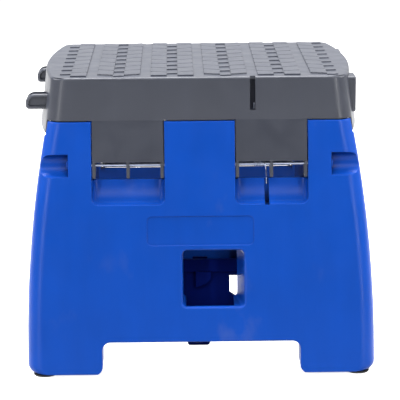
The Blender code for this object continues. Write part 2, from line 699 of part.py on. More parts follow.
def make_feet(parts, cutters, rubber):
    """Rubber plugs under the outer corners of the legs."""
    for end, skirt_z, turn in (("front", FRONT_SKIRT_Z, -1), ("rear", REAR_SKIRT_Z, 1)):
        for hand, side in (("left", -1), ("right", 1)):
            x = side * 0.161
            y = turn * (face_distance(FOOT_Z, skirt_z) - FOOT_BACK)
            bm = bmesh.new()
            rim = FOOT_Z - 0.0003
            cylinder_z(bm, 0.012, x, y, 0.0, rim)
            foot = add_mesh(f"foot_{end}_{hand}", bm, parts, rubber)
            stem = bmesh.new()
            cylinder_z(stem, 0.0037, x, y, rim - 0.001, 0.0080, 12)
            boolean(foot, add_mesh(f"foot_stem_{end}_{hand}", stem, cutters), "UNION")


def lever_face(bm):
    """Shapes of the lever that show in the hand hold: a lip, a sloping web and a boss."""
    box(bm, (0.0290, LATCH_DEPTH + 0.0002, LATCH_Z - 0.0105),
        (LATCH_BAR_X[1] - 0.0010, LATCH_DEPTH + 0.0030, LATCH_Z - 0.0050))
    web = [(0.0290, 0.0560), (0.0420, 0.0560), (0.0420, 0.0677), (0.0304, 0.0753), (0.0290, 0.0753)]
    prism(bm, web, LATCH_DEPTH + 0.0006, LATCH_DEPTH + 0.0028, "y")
    boss = [(-0.0050, 0.0815), (0.0060, 0.0850), (0.0110, 0.0900), (0.0110, 0.0975), (-0.0050, 0.0975)]
    prism(bm, boss, LATCH_DEPTH - 0.0040, LATCH_DEPTH + 0.0010, "y")


def make_latch(parts, cutters, navy, steel):
    """Latch lever on the front panel, its pivot pin and two friction washers."""
    skirt_z = FRONT_SKIRT_Z
    y = LATCH_DEPTH - face_distance(LATCH_Z, skirt_z)
    lever = bmesh.new()
    box(lever, (LATCH_BAR_X[0], LATCH_DEPTH - 0.0020, LATCH_Z - 0.0060),
        (LATCH_BAR_X[1], LATCH_DEPTH + 0.0035, LATCH_Z + 0.0065))
    shear_to_face(lever, skirt_z)
    lever_obj = add_mesh("latch_lever", lever, parts, navy)
    extra = bmesh.new()
    lever_face(extra)
    box(extra, (-0.0198, LATCH_DEPTH + 0.0004, 0.056), (0.0304, LATCH_DEPTH + 0.0032, LATCH_Z - 0.005))
    box(extra, (-0.0140, LATCH_DEPTH + 0.0006, 0.0235), (0.0095, LATCH_DEPTH + 0.0030, 0.058))
    box(extra, (-0.0080, LATCH_DEPTH + 0.0010, LATCH_Z - 0.0015),
        (0.0080, LATCH_DEPTH + 0.0195, LATCH_Z + 0.0015))
    box(extra, (-0.0078, LATCH_DEPTH + 0.0165, LATCH_Z - 0.0005),
        (0.0078, LATCH_DEPTH + 0.0193, LATCH_Z + 0.0050))
    shear_to_face(extra, skirt_z)
    boolean(lever_obj, add_mesh("latch_lever_extra", extra, cutters), "UNION")
    bore = bmesh.new()
    cylinder_x(bore, LATCH_PIN_RADIUS + BORE_GAP, -0.030, 0.056, y, LATCH_Z, 24)
    boolean(lever_obj, add_mesh("latch_lever_bore", bore, cutters), "DIFFERENCE")
    set_origin(lever_obj, (0.0, y, LATCH_Z))

    pin = bmesh.new()
    cylinder_x(pin, LATCH_PIN_RADIUS, LATCH_EAR_X[0] - 0.0028, LATCH_EAR_X[1] + 0.0028, y, LATCH_Z, 16)
    add_mesh("latch_pin", pin, parts, steel)
    left = (LATCH_EAR_X[0] + LATCH_BAR_X[0]) / 2
    right = (LATCH_EAR_X[1] + LATCH_BAR_X[1]) / 2
    for hand, x in (("left", left), ("right", right)):
        make_washer(f"latch_washer_{hand}", x, y, LATCH_Z, parts, steel)


def make_washer(name, x, y, z, parts, steel):
    """A thin steel ring about X."""
    bm = bmesh.new()
    rings = []
    for radius, shift in ((0.0019, -0.0003), (0.0031, -0.0003), (0.0031, 0.0003), (0.0019, 0.0003)):
        rings.append([bm.verts.new((x + shift, y + radius * cos(2 * pi * k / 20),
                                    z + radius * sin(2 * pi * k / 20))) for k in range(20)])
    for i, loop in enumerate(rings):
        other = rings[(i + 1) % 4]
        for k in range(20):
            j = (k + 1) % 20
            bm.faces.new((loop[k], loop[j], other[j], other[k]))
    add_mesh(name, bm, parts, steel)


def main():
    clear_scene()
    parts = new_collection("folding_step_stool")
    cutters = new_collection("cutters")
    grey = make_material("grey_plastic", (0.115, 0.120, 0.135), 0.50)
    blue = make_material("blue_plastic", (0.010, 0.085, 0.520), 0.42)
    navy = make_material("navy_plastic", (0.001, 0.009, 0.090), 0.45)
    steel = make_material("zinc_steel", (0.62, 0.63, 0.64), 0.28, 1.0)
    rubber = make_material("black_rubber", (0.012, 0.012, 0.013), 0.80)

    make_tread(parts, cutters, grey)
    make_panel("front_leg", FRONT_SKIRT_Z, False, parts, cutters, blue)
    make_panel("rear_leg", REAR_SKIRT_Z, True, parts, cutters, blue)
    make_pins(parts, steel, blue)
    make_torsion_spring("torsion_spring_front", FRONT_SKIRT_Z, False, parts, steel)
    make_torsion_spring("torsion_spring_rear", REAR_SKIRT_Z, True, parts, steel)
    make_feet(parts, cutters, rubber)
    make_latch(parts, cutters, navy, steel)


main()
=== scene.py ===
import json
from math import acos, atan2, cos, pi, radians, sin, sqrt, tan

import bmesh
import bpy
from mathutils import Matrix, Vector


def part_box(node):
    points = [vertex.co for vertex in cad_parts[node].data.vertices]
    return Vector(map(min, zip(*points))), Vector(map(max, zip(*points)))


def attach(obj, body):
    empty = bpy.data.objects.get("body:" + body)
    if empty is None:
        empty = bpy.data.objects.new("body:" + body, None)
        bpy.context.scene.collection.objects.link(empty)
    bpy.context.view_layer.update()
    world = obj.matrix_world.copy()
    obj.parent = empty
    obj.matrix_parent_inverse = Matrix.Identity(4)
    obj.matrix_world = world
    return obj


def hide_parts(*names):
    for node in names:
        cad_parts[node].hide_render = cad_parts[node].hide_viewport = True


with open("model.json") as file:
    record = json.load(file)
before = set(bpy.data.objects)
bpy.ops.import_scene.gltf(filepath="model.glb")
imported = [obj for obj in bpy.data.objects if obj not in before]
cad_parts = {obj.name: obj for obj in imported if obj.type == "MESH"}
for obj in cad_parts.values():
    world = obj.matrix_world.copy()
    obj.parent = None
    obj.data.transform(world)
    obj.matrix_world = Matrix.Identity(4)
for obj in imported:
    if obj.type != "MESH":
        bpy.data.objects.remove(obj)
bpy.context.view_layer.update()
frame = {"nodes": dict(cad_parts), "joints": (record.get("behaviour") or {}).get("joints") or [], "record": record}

# ------------------------------------------------- sizes taken from the frame

JOINTS = {joint["name"]: Vector(joint["pos_m"]) for joint in frame["joints"]}
TREAD_LOW, TREAD_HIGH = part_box("tread")
LEG_LOW, LEG_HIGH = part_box("front_leg")
PIN_LOW, PIN_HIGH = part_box("hinge_pin_front_right")
PLUG_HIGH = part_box("pin_plug_front_right")[1]
LEVER_LOW, LEVER_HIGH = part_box("latch_lever")
FOOT_LOW, FOOT_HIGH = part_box("foot_front_right")

STEP_HEIGHT = TREAD_HIGH.z
BAR_RISE = 0.0015            # the blocks stand this far above the plate
PLATE_TOP = STEP_HEIGHT - BAR_RISE
WALL = 0.0032                # moulded wall
CLEARANCE = 0.0004           # between pieces that move past each other
PLAY = 0.0001                # between a pin and its bore
STIFFENER = 0.0012           # half the thickness of the thin inner ribs
FOOT_REACH = -LEG_LOW.y      # outer face of each panel at its foot
FOOT_HALF_WIDTH = LEG_HIGH.x
FOOT_Z = LEG_LOW.z
FOOT_X = 0.161               # feet, each side of the middle
FOOT_BACK = FOOT_REACH + (FOOT_LOW.y + FOOT_HIGH.y) / 2    # middle of a foot, behind the face

TOP_HALF_DEPTH = 0.128       # front to back, at the plate
TOP_HALF_WIDTH = 0.1485      # side to side, at the front and back edges
SIDE_BOW = 0.0125            # the sides bow out by this much in the middle
TOP_CORNER = 0.018           # plan radius of the tread's corners
INNER_TOP_CORNER = 0.013     # and of the line its inside is offset from
TOP_EDGE = 0.0025            # radius of the tread's upper edge
FRONT_FLARE = 0.0455         # skirts lean out as they go down (run over drop)
SIDE_FLARE = 0.125

PIN_DROP = 0.0455            # hinge axis below its skirt's edge
PIN_SETBACK = 0.005          # and behind the panel's outer face
PIN_RADIUS = (PIN_HIGH.z - PIN_LOW.z) / 2
FRONT_SKIRT_Z = JOINTS["front_hinge"].z + PIN_DROP
REAR_SKIRT_Z = JOINTS["rear_hinge"].z + PIN_DROP
SIDE_SKIRT_Z = FRONT_SKIRT_Z - 0.014
FRONT_SWING = radians(98.0)  # from open to folded

TAB_X = 0.0733               # centre of each hinge tab
TAB_HALF = 0.0364            # half the width of a tab
NOTCH_HALF = TAB_HALF + 0.0009
TAB_NOSE = 0.014             # ribs end in an arc of this radius about the pin
FRONT_TAB_LOW = 0.0031       # lower edge of a front tab's plate, above the pin
REAR_TAB_LOW = -0.0190       # the rear tabs reach below the pin and hide it
FRONT_TAB_THICK = 0.0022
REAR_TAB_THICK = 0.0011      # thinner, to pass the spring
RIB = 0.0032                 # thickness of the tabs' ribs and of the panel stops
RIB_TOP = PLATE_TOP - 0.0015     # ribs and stops run into the plate up to here
STOP_X = (-0.136, -0.018, 0.018, 0.136)
LIP_DROP = 0.0030            # lips hang below the skirt's edge by this much
COVER_DROP = 0.0044          # and the covers in its corners by this much
PLATE_RIB_LOW = PLATE_TOP - 0.009
PLATE_RIB_X = (-0.110, -0.0369, 0.0369, 0.110)
PLATE_RIB_Y = (-0.062, 0.0, 0.062)
SLOT_X = (0.0516, 0.0572)    # slot in each end skirt, left by the mould
SLOT_Z = (0.2696, 0.310)
KEEPER_HALF = 0.010          # half the width of the hook that the latch catches

COLUMN = 0.0273              # from one column of tread blocks to the next
BLOCK_HALF = 0.0083          # half the width of a block
ROW = 0.0289                 # from one row of blocks to the next
GROOVE = 0.0022              # between the rows
CHEVRON = 0.006              # a block's ends run back by this much
BLOCK_REACH = 0.1195         # the blocks end here, front and back
TIE_HALF = 0.0045            # half the depth of a tie between two columns
BLOCK_EDGE = 0.0007          # rounding of the blocks' upper edges

PANEL_DEPTH = 0.035          # thickness of a leg panel, with its ribs
PANEL_GAP = 0.0014           # between a panel's top edge and its skirt
SIDE_ROUND = 0.017           # radius of a panel's front side edges
INNER_SIDE_ROUND = 0.012     # and of the line its hollow is offset from
FOOT_CORNER = 0.009          # radius of its lower outer corners
PANEL_EDGE = 0.0012          # radius of its top and bottom edges
PANEL_NARROWING = 0.023
CUTOUT_HALF = 0.1016         # half the width of the gap between the legs
CUTOUT_Z = 0.0347            # top of that gap
CUTOUT_CORNER = 0.008
SCOOP_CORNER = 0.007         # radius of the sides of the finger scoops
SCOOP_DROP = 0.040           # lower edge of a scoop, below the hinge axis
SCOOP_TOP = 0.0165           # and its upper edge
SCOOP_DEPTH = 0.014
SWING_RADIUS = 0.0305        # an open panel's inside keeps this far from its hinge axis
STRAIGHT_Z = 0.030           # the panels narrow only above this height
NARROW_RUN = 0.229           # and over this rise
FOOT_STEM = 0.0037           # radius of a foot's stem
FOOT_BORE = 0.0043

WINDOW_LOW = (-0.0186, 0.0704)     # hand hold, lower left corner (x, z)
WINDOW_HIGH = (0.0444, 0.1275)     # upper right corner
BADGE_HALF = 0.0547
BADGE_Z = (0.1330, 0.1625)
BADGE_DEPTH = 0.0008
GROOVE_END = PLUG_HIGH.x - 0.0012  # end wall of each pin groove
GROOVE_RADIUS = 0.0115

LINK_Y = 0.090               # linking lugs and sockets, each side of the middle
BOSS_X = 0.162               # outer face of the pads around the sockets
LUG_TIP_X = -TREAD_LOW.x
LUG_Z = (0.267, 0.283)

SPRING_X = (0.0560, 0.0670)  # ends of each torsion spring's coil
SPRING_WIRE = 0.0006
SPRING_RADIUS = 0.0026
SPRING_TURNS = 7

LATCH_Z = JOINTS["latch_pivot"].z
LATCH_PIN_RADIUS = 0.0015
LATCH_BORE_X = (-0.030, 0.056)
LATCH_TIP_X = (-0.0140, 0.0095)
LATCH_TIP_LOW = 0.0203       # lower end of the finger grip
LATCH_BAR_X = (LEVER_LOW.x, LEVER_HIGH.x)
LATCH_EAR_X = (LEVER_LOW.x - 0.0012, LEVER_HIGH.x + 0.0012)


def face_distance(z, skirt_z):
    """Distance of a panel's outer face from the middle plane at height z."""
    skirt = TOP_HALF_DEPTH + FRONT_FLARE * (PLATE_TOP - skirt_z)
    lean = (FOOT_REACH - skirt) / (skirt_z - FOOT_Z)
    return skirt + (skirt_z - z) * lean


LATCH_DEPTH = face_distance(LATCH_Z, FRONT_SKIRT_Z) + JOINTS["latch_pivot"].y


def pin_position(skirt_z):
    z = skirt_z - PIN_DROP
    return -(face_distance(z, skirt_z) - PIN_SETBACK), z


def folded(depth, z):
    """(y, z) of a point of the front panel once it is folded under the tread."""
    pin_y, pin_z = pin_position(FRONT_SKIRT_Z)
    across, along = cos(FRONT_SWING), sin(FRONT_SWING)
    out = depth - face_distance(z, FRONT_SKIRT_Z) - pin_y
    up = z - pin_z
    return pin_y + out * across - up * along, pin_z + out * along + up * across


def panel_half_width(z):
    rise = max(0.0, (z - STRAIGHT_Z) / NARROW_RUN)
    return FOOT_HALF_WIDTH - PANEL_NARROWING * rise * rise


# ------------------------------------------------------------ scene and tools

scene = bpy.context.scene


def add_mesh(name, bm, material=None):
    bmesh.ops.recalc_face_normals(bm, faces=bm.faces)
    mesh = bpy.data.meshes.new(name)
    bm.to_mesh(mesh)
    bm.free()
    obj = bpy.data.objects.new(name, mesh)
    scene.collection.objects.link(obj)
    if material:
        mesh.materials.append(material)
    return obj


def box(bm, low, high):
    size = Vector(high) - Vector(low)
    middle = (Vector(high) + Vector(low)) / 2
    matrix = Matrix.Translation(middle) @ Matrix.Diagonal((*size, 1.0))
    bmesh.ops.create_cube(bm, size=1.0, matrix=matrix)


def cylinder_x(bm, radius, x_low, x_high, y, z, segments=32):
    matrix = Matrix.Translation(((x_low + x_high) / 2, y, z)) @ Matrix.Rotation(pi / 2, 4, "Y")
    bmesh.ops.create_cone(bm, cap_ends=True, segments=segments, radius1=radius,
                          radius2=radius, depth=x_high - x_low, matrix=matrix)


def cylinder_z(bm, radius, x, y, z_low, z_high, segments=32):
    matrix = Matrix.Translation((x, y, (z_low + z_high) / 2))
    bmesh.ops.create_cone(bm, cap_ends=True, segments=segments, radius1=radius,
                          radius2=radius, depth=z_high - z_low, matrix=matrix)


def prism(bm, outline, low, high, axis="x"):
    """Extrude a closed outline along X, as (y, z), or along Y, as (x, z)."""
    place = {
        "x": lambda a, b: Vector((low, a, b)),
        "y": lambda a, b: Vector((a, low, b)),
    }[axis]
    step = {"x": (1, 0, 0), "y": (0, 1, 0)}[axis]
    face = bm.faces.new([bm.verts.new(place(a, b)) for a, b in outline])
    side = bmesh.ops.extrude_face_region(bm, geom=[face])
    moved = [v for v in side["geom"] if isinstance(v, bmesh.types.BMVert)]
    bmesh.ops.translate(bm, verts=moved, vec=Vector(step) * (high - low))


def loft(bm, rings):
    """Close a skin over rings of equal length."""
    loops = [[bm.verts.new(point) for point in ring] for ring in rings]
    count = len(loops[0])
    for lower, upper in zip(loops, loops[1:]):
        for i in range(count):
            j = (i + 1) % count
            bm.faces.new((lower[i], lower[j], upper[j], upper[i]))
    bm.faces.new(list(reversed(loops[0])))
    bm.faces.new(loops[-1])


def rounded(corners, segments=6):
    """Round a polygon's corners, each given as (a, b, radius)."""
    points = []
    count = len(corners)
    for i, (a, b, radius) in enumerate(corners):
        here = Vector((a, b))
        if radius <= 0.0:
            points.append((a, b))
            continue
        back = (Vector(corners[i - 1][:2]) - here).normalized()
        ahead = (Vector(corners[(i + 1) % count][:2]) - here).normalized()
        half = acos(max(-1.0, min(1.0, back.dot(ahead)))) / 2
        centre = here + (back + ahead).normalized() * radius / sin(half)
        start = here + back * radius / tan(half) - centre
        end = here + ahead * radius / tan(half) - centre
        first = atan2(start.y, start.x)
        turn = (atan2(end.y, end.x) - first + pi) % (2 * pi) - pi
        for k in range(segments + 1):
            angle = first + turn * k / segments
            points.append((centre.x + radius * cos(angle), centre.y + radius * sin(angle)))
    return points


def rectangle(low, high, radius, grow=0.0, segments=6):
    """Rounded rectangle, grown outwards on all sides."""
    (x0, z0), (x1, z1) = low, high
    reach = max(radius + grow, 0.0002)
    return rounded([(x0 - grow, z0 - grow, reach), (x1 + grow, z0 - grow, reach),
                    (x1 + grow, z1 + grow, reach), (x0 - grow, z1 + grow, reach)], segments)


def mouth(outline, edge, deep, steps=5):
    """Rings along Y that cut an opening whose front edge is rounded; outline(grow) gives (x, z)."""
    rings = [[(x, -0.012, z) for x, z in outline(edge)]]
    for k in range(steps + 1):
        angle = pi / 2 * k / steps
        depth, grow = edge * (1 - cos(angle)) - 0.00005, edge * (1 - sin(angle)) - 0.00002
        rings.append([(x, depth, z) for x, z in outline(grow)])
    if deep > edge:
        rings.append([(x, deep, z) for x, z in outline(-0.00002)])
    return rings


def boolean(obj, tool, operation):
    modifier = obj.modifiers.new(tool.name, "BOOLEAN")
    modifier.operation = operation
    modifier.solver = "EXACT"
    modifier.use_self = True
    modifier.object = tool


def settle(obj, tools, angle=32.0):
    """Bake an object's booleans, remove the tools, and shade it smooth across shallow edges."""
    if tools:
        graph = bpy.context.evaluated_depsgraph_get()
        mesh = bpy.data.meshes.new_from_object(obj.evaluated_get(graph))
        obj.modifiers.clear()
        obj.data = mesh
        for tool in tools:
            bpy.data.objects.remove(tool, do_unlink=True)
    obj.data.shade_smooth()
    obj.data.set_sharp_from_angle(angle=radians(angle))
    weighted = obj.modifiers.new("weighted_normal", "WEIGHTED_NORMAL")
    weighted.keep_sharp = True
    return obj


def on_side(obj, rear):
    """Turn a piece made for the front half turn about Z, for the rear."""
    if rear:
        obj.data.transform(Matrix.Rotation(pi, 4, "Z"))
    return obj


# ----------------------------------------------------------------- materials

def node(tree, kind, **values):
    made = tree.nodes.new(kind)
    for key, value in values.items():
        if hasattr(made, key):
            setattr(made, key, value)
        else:
            made.inputs[key.replace("_", " ")].default_value = value
    return made


def noise(tree, vector, scale, detail=4.0, stretch=(1.0, 1.0, 1.0)):
    place = node(tree, "ShaderNodeMapping")
    place.inputs["Scale"].default_value = stretch
    tree.links.new(vector, place.inputs["Vector"])
    made = node(tree, "ShaderNodeTexNoise")
    made.inputs["Scale"].default_value = scale
    made.inputs["Detail"].default_value = detail
    tree.links.new(place.outputs["Vector"], made.inputs["Vector"])
    return made.outputs["Fac"]


def spread(tree, value, low, high, start=0.3, end=0.7):
    made = node(tree, "ShaderNodeMapRange")
    made.inputs["From Min"].default_value = start
    made.inputs["From Max"].default_value = end
    made.inputs["To Min"].default_value = low
    made.inputs["To Max"].default_value = high
    tree.links.new(value, made.inputs["Value"])
    return made.outputs["Result"]


def product(tree, first, second):
    made = node(tree, "ShaderNodeMath", operation="MULTIPLY")
    tree.links.new(first, made.inputs[0])
    tree.links.new(second, made.inputs[1])
    return made.outputs["Value"]


def plastic(name, colour, roughness, specular, scuff, painted_hollow_shade, edge=0.0006):
    """Satin moulded plastic: mottled and streaked colour, scuffs, painted shade in its hollows and corners, fine
    grain.
    """
    material = bpy.data.materials.new(name)
    material.use_nodes = True
    tree = material.node_tree
    shader = tree.nodes["Principled BSDF"]
    place = node(tree, "ShaderNodeTexCoord").outputs["Object"]

    mottle = spread(tree, noise(tree, place, 16.0), 0.95, 1.05)
    streak = spread(tree, noise(tree, place, 22.0, 3.0, (3.0, 3.0, 0.25)), 0.965, 1.035)
    tone = product(tree, mottle, streak)
    # Painted shade: where the piece's own shape closes in (hollows, scoops, gaps), its colour is darkened, down to
    # the given share at full occlusion.
    painted_shade_ao = node(tree, "ShaderNodeAmbientOcclusion", samples=4, only_local=True)
    painted_shade_ao.inputs["Distance"].default_value = 0.04
    shade = spread(tree, painted_shade_ao.outputs["AO"], painted_hollow_shade, 1.0, 0.25, 0.90)
    tone = product(tree, tone, shade)
    tinted = node(tree, "ShaderNodeVectorMath", operation="SCALE")
    tinted.inputs[0].default_value = colour
    tree.links.new(tone, tinted.inputs["Scale"])

    scratches = spread(tree, noise(tree, place, 34.0, 8.0, (1.0, 1.0, 0.6)), 0.0, 1.0, 0.60, 0.78)
    patches = spread(tree, noise(tree, place, 9.0, 2.0), 0.0, scuff, 0.50, 0.62)
    marks = product(tree, shade, product(tree, scratches, patches))
    worn = node(tree, "ShaderNodeMix", data_type="RGBA")
    worn.inputs["B"].default_value = (*[c * 0.6 + 0.14 for c in colour], 1.0)
    tree.links.new(marks, worn.inputs["Factor"])
    tree.links.new(tinted.outputs["Vector"], worn.inputs["A"])
    tree.links.new(worn.outputs["Result"], shader.inputs["Base Color"])

    rough = spread(tree, noise(tree, place, 55.0, 6.0), roughness - 0.05, roughness + 0.05)
    tree.links.new(rough, shader.inputs["Roughness"])
    shader.inputs["Specular IOR Level"].default_value = specular

    soft = node(tree, "ShaderNodeBevel")
    soft.samples = 4
    soft.inputs["Radius"].default_value = edge
    swell = node(tree, "ShaderNodeBump")
    swell.inputs["Strength"].default_value = 0.35
    swell.inputs["Distance"].default_value = 0.0006
    tree.links.new(noise(tree, place, 30.0, 2.0), swell.inputs["Height"])
    tree.links.new(soft.outputs["Normal"], swell.inputs["Normal"])
    grain = node(tree, "ShaderNodeBump")
    grain.inputs["Strength"].default_value = 0.25
    grain.inputs["Distance"].default_value = 0.00004
    tree.links.new(noise(tree, place, 1400.0, 3.0), grain.inputs["Height"])
    tree.links.new(swell.outputs["Normal"], grain.inputs["Normal"])
    tree.links.new(grain.outputs["Normal"], shader.inputs["Normal"])
    return material


def steel_material(name):
    """Bright zinc plated wire."""
    material = bpy.data.materials.new(name)
    material.use_nodes = True
    tree = material.node_tree
    shader = tree.nodes["Principled BSDF"]
    place = node(tree, "ShaderNodeTexCoord").outputs["Object"]
    shade = node(tree, "ShaderNodeMix", data_type="RGBA")
    shade.inputs["A"].default_value = (0.13, 0.15, 0.21, 1.0)
    shade.inputs["B"].default_value = (0.30, 0.33, 0.41, 1.0)
    tree.links.new(noise(tree, place, 260.0, 5.0), shade.inputs["Factor"])
    tree.links.new(shade.outputs["Result"], shader.inputs["Base Color"])
    shader.inputs["Metallic"].default_value = 1.0
    rough = spread(tree, noise(tree, place, 420.0, 5.0, (0.2, 1.0, 1.0)), 0.26, 0.42)
    tree.links.new(rough, shader.inputs["Roughness"])
    bump = node(tree, "ShaderNodeBump")
    bump.inputs["Strength"].default_value = 0.15
    bump.inputs["Distance"].default_value = 0.00003
    tree.links.new(noise(tree, place, 1800.0, 3.0, (0.15, 1.0, 1.0)), bump.inputs["Height"])
    tree.links.new(bump.outputs["Normal"], shader.inputs["Normal"])
    return material


def rubber_material(name):
    """Matt black rubber with dust in its pores."""
    material = bpy.data.materials.new(name)
    material.use_nodes = True
    tree = material.node_tree
    shader = tree.nodes["Principled BSDF"]
    place = node(tree, "ShaderNodeTexCoord").outputs["Object"]
    shade = node(tree, "ShaderNodeMix", data_type="RGBA")
    shade.inputs["A"].default_value = (0.008, 0.008, 0.009, 1.0)
    shade.inputs["B"].default_value = (0.030, 0.029, 0.028, 1.0)
    dust = spread(tree, noise(tree, place, 320.0, 8.0), 0.0, 1.0, 0.40, 0.75)
    tree.links.new(dust, shade.inputs["Factor"])
    tree.links.new(shade.outputs["Result"], shader.inputs["Base Color"])
    rough = spread(tree, noise(tree, place, 150.0, 4.0), 0.62, 0.85)
    tree.links.new(rough, shader.inputs["Roughness"])
    bump = node(tree, "ShaderNodeBump")
    bump.inputs["Strength"].default_value = 0.4
    bump.inputs["Distance"].default_value = 0.0001
    tree.links.new(noise(tree, place, 900.0, 4.0), bump.inputs["Height"])
    tree.links.new(bump.outputs["Normal"], shader.inputs["Normal"])
    return material


# The last number is painted shade: the share of colour kept in the deepest hollows.
GREY = plastic("moulded_grey", (0.047, 0.052, 0.071), 0.36, 0.44, 0.06, 0.85)
BLUE = plastic("moulded_blue", (0.0040, 0.077, 0.500), 0.34, 0.18, 0.30, 0.20)
# Darker copy of the blue for the latch lever, which sits in shadow behind the hand hold: painted shade.
SHADED_BLUE = plastic("blue_painted_shade", (0.001, 0.006, 0.085), 0.45, 0.02, 0.0, 0.50)
STEEL = steel_material("bright_zinc")
RUBBER = rubber_material("foot_rubber")
SLOTS = {"grey_plastic": GREY, "blue_plastic": BLUE, "navy_plastic": SHADED_BLUE, "zinc_steel": STEEL,
         "black_rubber": RUBBER}


# --------------------------------------------------------------------- tread

def top_outline(z, inset=0.0):
    """Plan outline of the tread at height z."""
    drop = PLATE_TOP - z
    half_x = TOP_HALF_WIDTH + SIDE_FLARE * drop - inset
    half_y = TOP_HALF_DEPTH + FRONT_FLARE * drop - inset
    radius = max((TOP_CORNER if inset < WALL / 2 else INNER_TOP_CORNER) - inset, 0.002)
    steps = 24
    corners = [(-half_x, -half_y, radius), (half_x, -half_y, radius)]
    for k in range(1, steps):
        share = 2 * k / steps - 1
        if abs(share) < 0.88:
            corners.append((half_x + SIDE_BOW * (1 - share * share), half_y * share, 0.0))
    corners += [(half_x, half_y, radius), (-half_x, half_y, radius)]
    for k in range(1, steps):
        share = 1 - 2 * k / steps
        if abs(share) < 0.88:
            corners.append((-half_x - SIDE_BOW * (1 - share * share), half_y * share, 0.0))
    return rounded(corners, 10)


def ring(z, inset=0.0):
    return [(x, y, z) for x, y in top_outline(z, inset)]


def hinge_tab(bm, skirt_z):
    """Two hinge tabs with three ribs each, for the front side."""
    pin_y, pin_z = pin_position(skirt_z)
    rear = skirt_z == REAR_SKIRT_Z
    low = pin_z + (REAR_TAB_LOW if rear else FRONT_TAB_LOW)
    thick = REAR_TAB_THICK if rear else FRONT_TAB_THICK
    face = -face_distance(low, skirt_z)
    skirt = -face_distance(skirt_z, skirt_z)
    plate = [(face + 0.0003, low), (face + thick, low), (skirt + WALL - 0.0005, skirt_z + 0.0007),
             (skirt + WALL - 0.0009, skirt_z + 0.010), (skirt + 0.0009, skirt_z + 0.010),
             (skirt + 0.0001, skirt_z + 0.0005), (face, low + 0.0004)]
    back = pin_y + TAB_NOSE
    nose = [(pin_y + TAB_NOSE * cos(a), pin_z + TAB_NOSE * sin(a))
            for a in (-radians(110) * k / 16 for k in range(17))]
    rib = [(back, RIB_TOP)] + nose
    rib += [(face + 0.001, low + 0.002), (skirt + 0.001, skirt_z + 0.001),
            (0.0015 - TOP_HALF_DEPTH, RIB_TOP)]
    for side in (-1, 1):
        middle = side * TAB_X
        prism(bm, plate, middle - TAB_HALF + 0.0003, middle + TAB_HALF - 0.0003)
        for shift in (-TAB_HALF + RIB / 2, 0.0, TAB_HALF - RIB / 2):
            prism(bm, rib, middle + shift - RIB / 2, middle + shift + RIB / 2)


def panel_stops(bm, skirt_z):
    """Plates behind the skirt on which the open panel rests, and lips that hide its top edge."""
    skirt = -face_distance(skirt_z, skirt_z)
    front = skirt + WALL + CLEARANCE
    for x in STOP_X:
        box(bm, (x - RIB / 2, front, skirt_z - 0.010), (x + RIB / 2, front + 0.010, RIB_TOP))
    lip = [(skirt + WALL - 0.0008, skirt_z + 0.0016), (skirt + WALL - 0.0010, skirt_z + 0.0060),
           (front + 0.0018, skirt_z + 0.0060), (front + 0.0018, skirt_z - LIP_DROP),
           (front + 0.0002, skirt_z - LIP_DROP), (front + 0.0002, skirt_z + 0.0016)]
    side = TOP_HALF_WIDTH + SIDE_FLARE * (PLATE_TOP - skirt_z) - WALL
    for low, high in ((0.0050 - side, -0.1146), (-0.0318, 0.0318), (0.1146, side - 0.0050)):
        prism(bm, lip, low, high)
    for low, high in ((-0.0014 - side, 0.0074 - side), (side - 0.0074, side + 0.0014)):
        box(bm, (low, front + 0.0056, skirt_z - COVER_DROP), (high, front + 0.0120, skirt_z + 0.0062))


def lug(bm, y):
    """Rounded linking lug on the left."""
    root = -0.1543
    edge = 0.0032
    rings = []
    for end in (-1, 1):
        for k in range(6)[::-end]:
            inset, out = edge * (1 - cos(pi / 2 * k / 5)), 0.010 - edge + edge * sin(pi / 2 * k / 5)
            low, high, tip = LUG_Z[0] + inset, LUG_Z[1] - inset, -LUG_TIP_X + inset
            profile = rounded([(root, low, 0), (root, high, 0), (tip, high, 0.009 - inset),
                               (tip, low, 0.0034 - inset / 2)], 8)
            rings.append([(x, y + end * out, z) for x, z in profile])
    loft(bm, rings)


def link_pad(bm, side, y):
    """Flat pad on the side of the tread, its outer edges rounded."""
    low, high, edge = 0.262, 0.299, 0.0015
    rings = []
    for k in range(5):
        inset, out = edge * (1 - cos(pi / 2 * k / 4)), BOSS_X - edge + edge * sin(pi / 2 * k / 4)
        outline = rectangle((y - 0.0145, low), (y + 0.0145, high), 0.003, -inset, 4)
        if not rings:
            rings.append([(side * 0.1515, a, b) for a, b in outline])
        rings.append([(side * out, a, b) for a, b in outline])
    loft(bm, rings)


def keeper(bm):
    """Hook under the plate that the latch lever's barb catches."""
    y, z = folded(0.055, 0.108)
    box(bm, (-KEEPER_HALF, y - 0.0067, z - 0.0046), (KEEPER_HALF, y - 0.0037, RIB_TOP))
    box(bm, (-KEEPER_HALF, y - 0.0050, z - 0.0046), (KEEPER_HALF, y - 0.0009, z - 0.0013))


def tread_inside(bm):
    for skirt_z, rear in ((FRONT_SKIRT_Z, False), (REAR_SKIRT_Z, True)):
        half = bmesh.new()
        hinge_tab(half, skirt_z)
        panel_stops(half, skirt_z)
        if rear:
            bmesh.ops.rotate(half, verts=half.verts, matrix=Matrix.Rotation(pi, 3, "Z"))
        mesh = bpy.data.meshes.new("half")
        half.to_mesh(mesh)
        half.free()
        bm.from_mesh(mesh)
        bpy.data.meshes.remove(mesh)
    keeper(bm)
    high = PLATE_TOP - 0.001
    for y in PLATE_RIB_Y:
        box(bm, (-0.1555, y - STIFFENER, PLATE_RIB_LOW), (0.1555, y + STIFFENER, high))
    for x in PLATE_RIB_X:
        box(bm, (x - STIFFENER, -0.126, PLATE_RIB_LOW), (x + STIFFENER, 0.126, high))


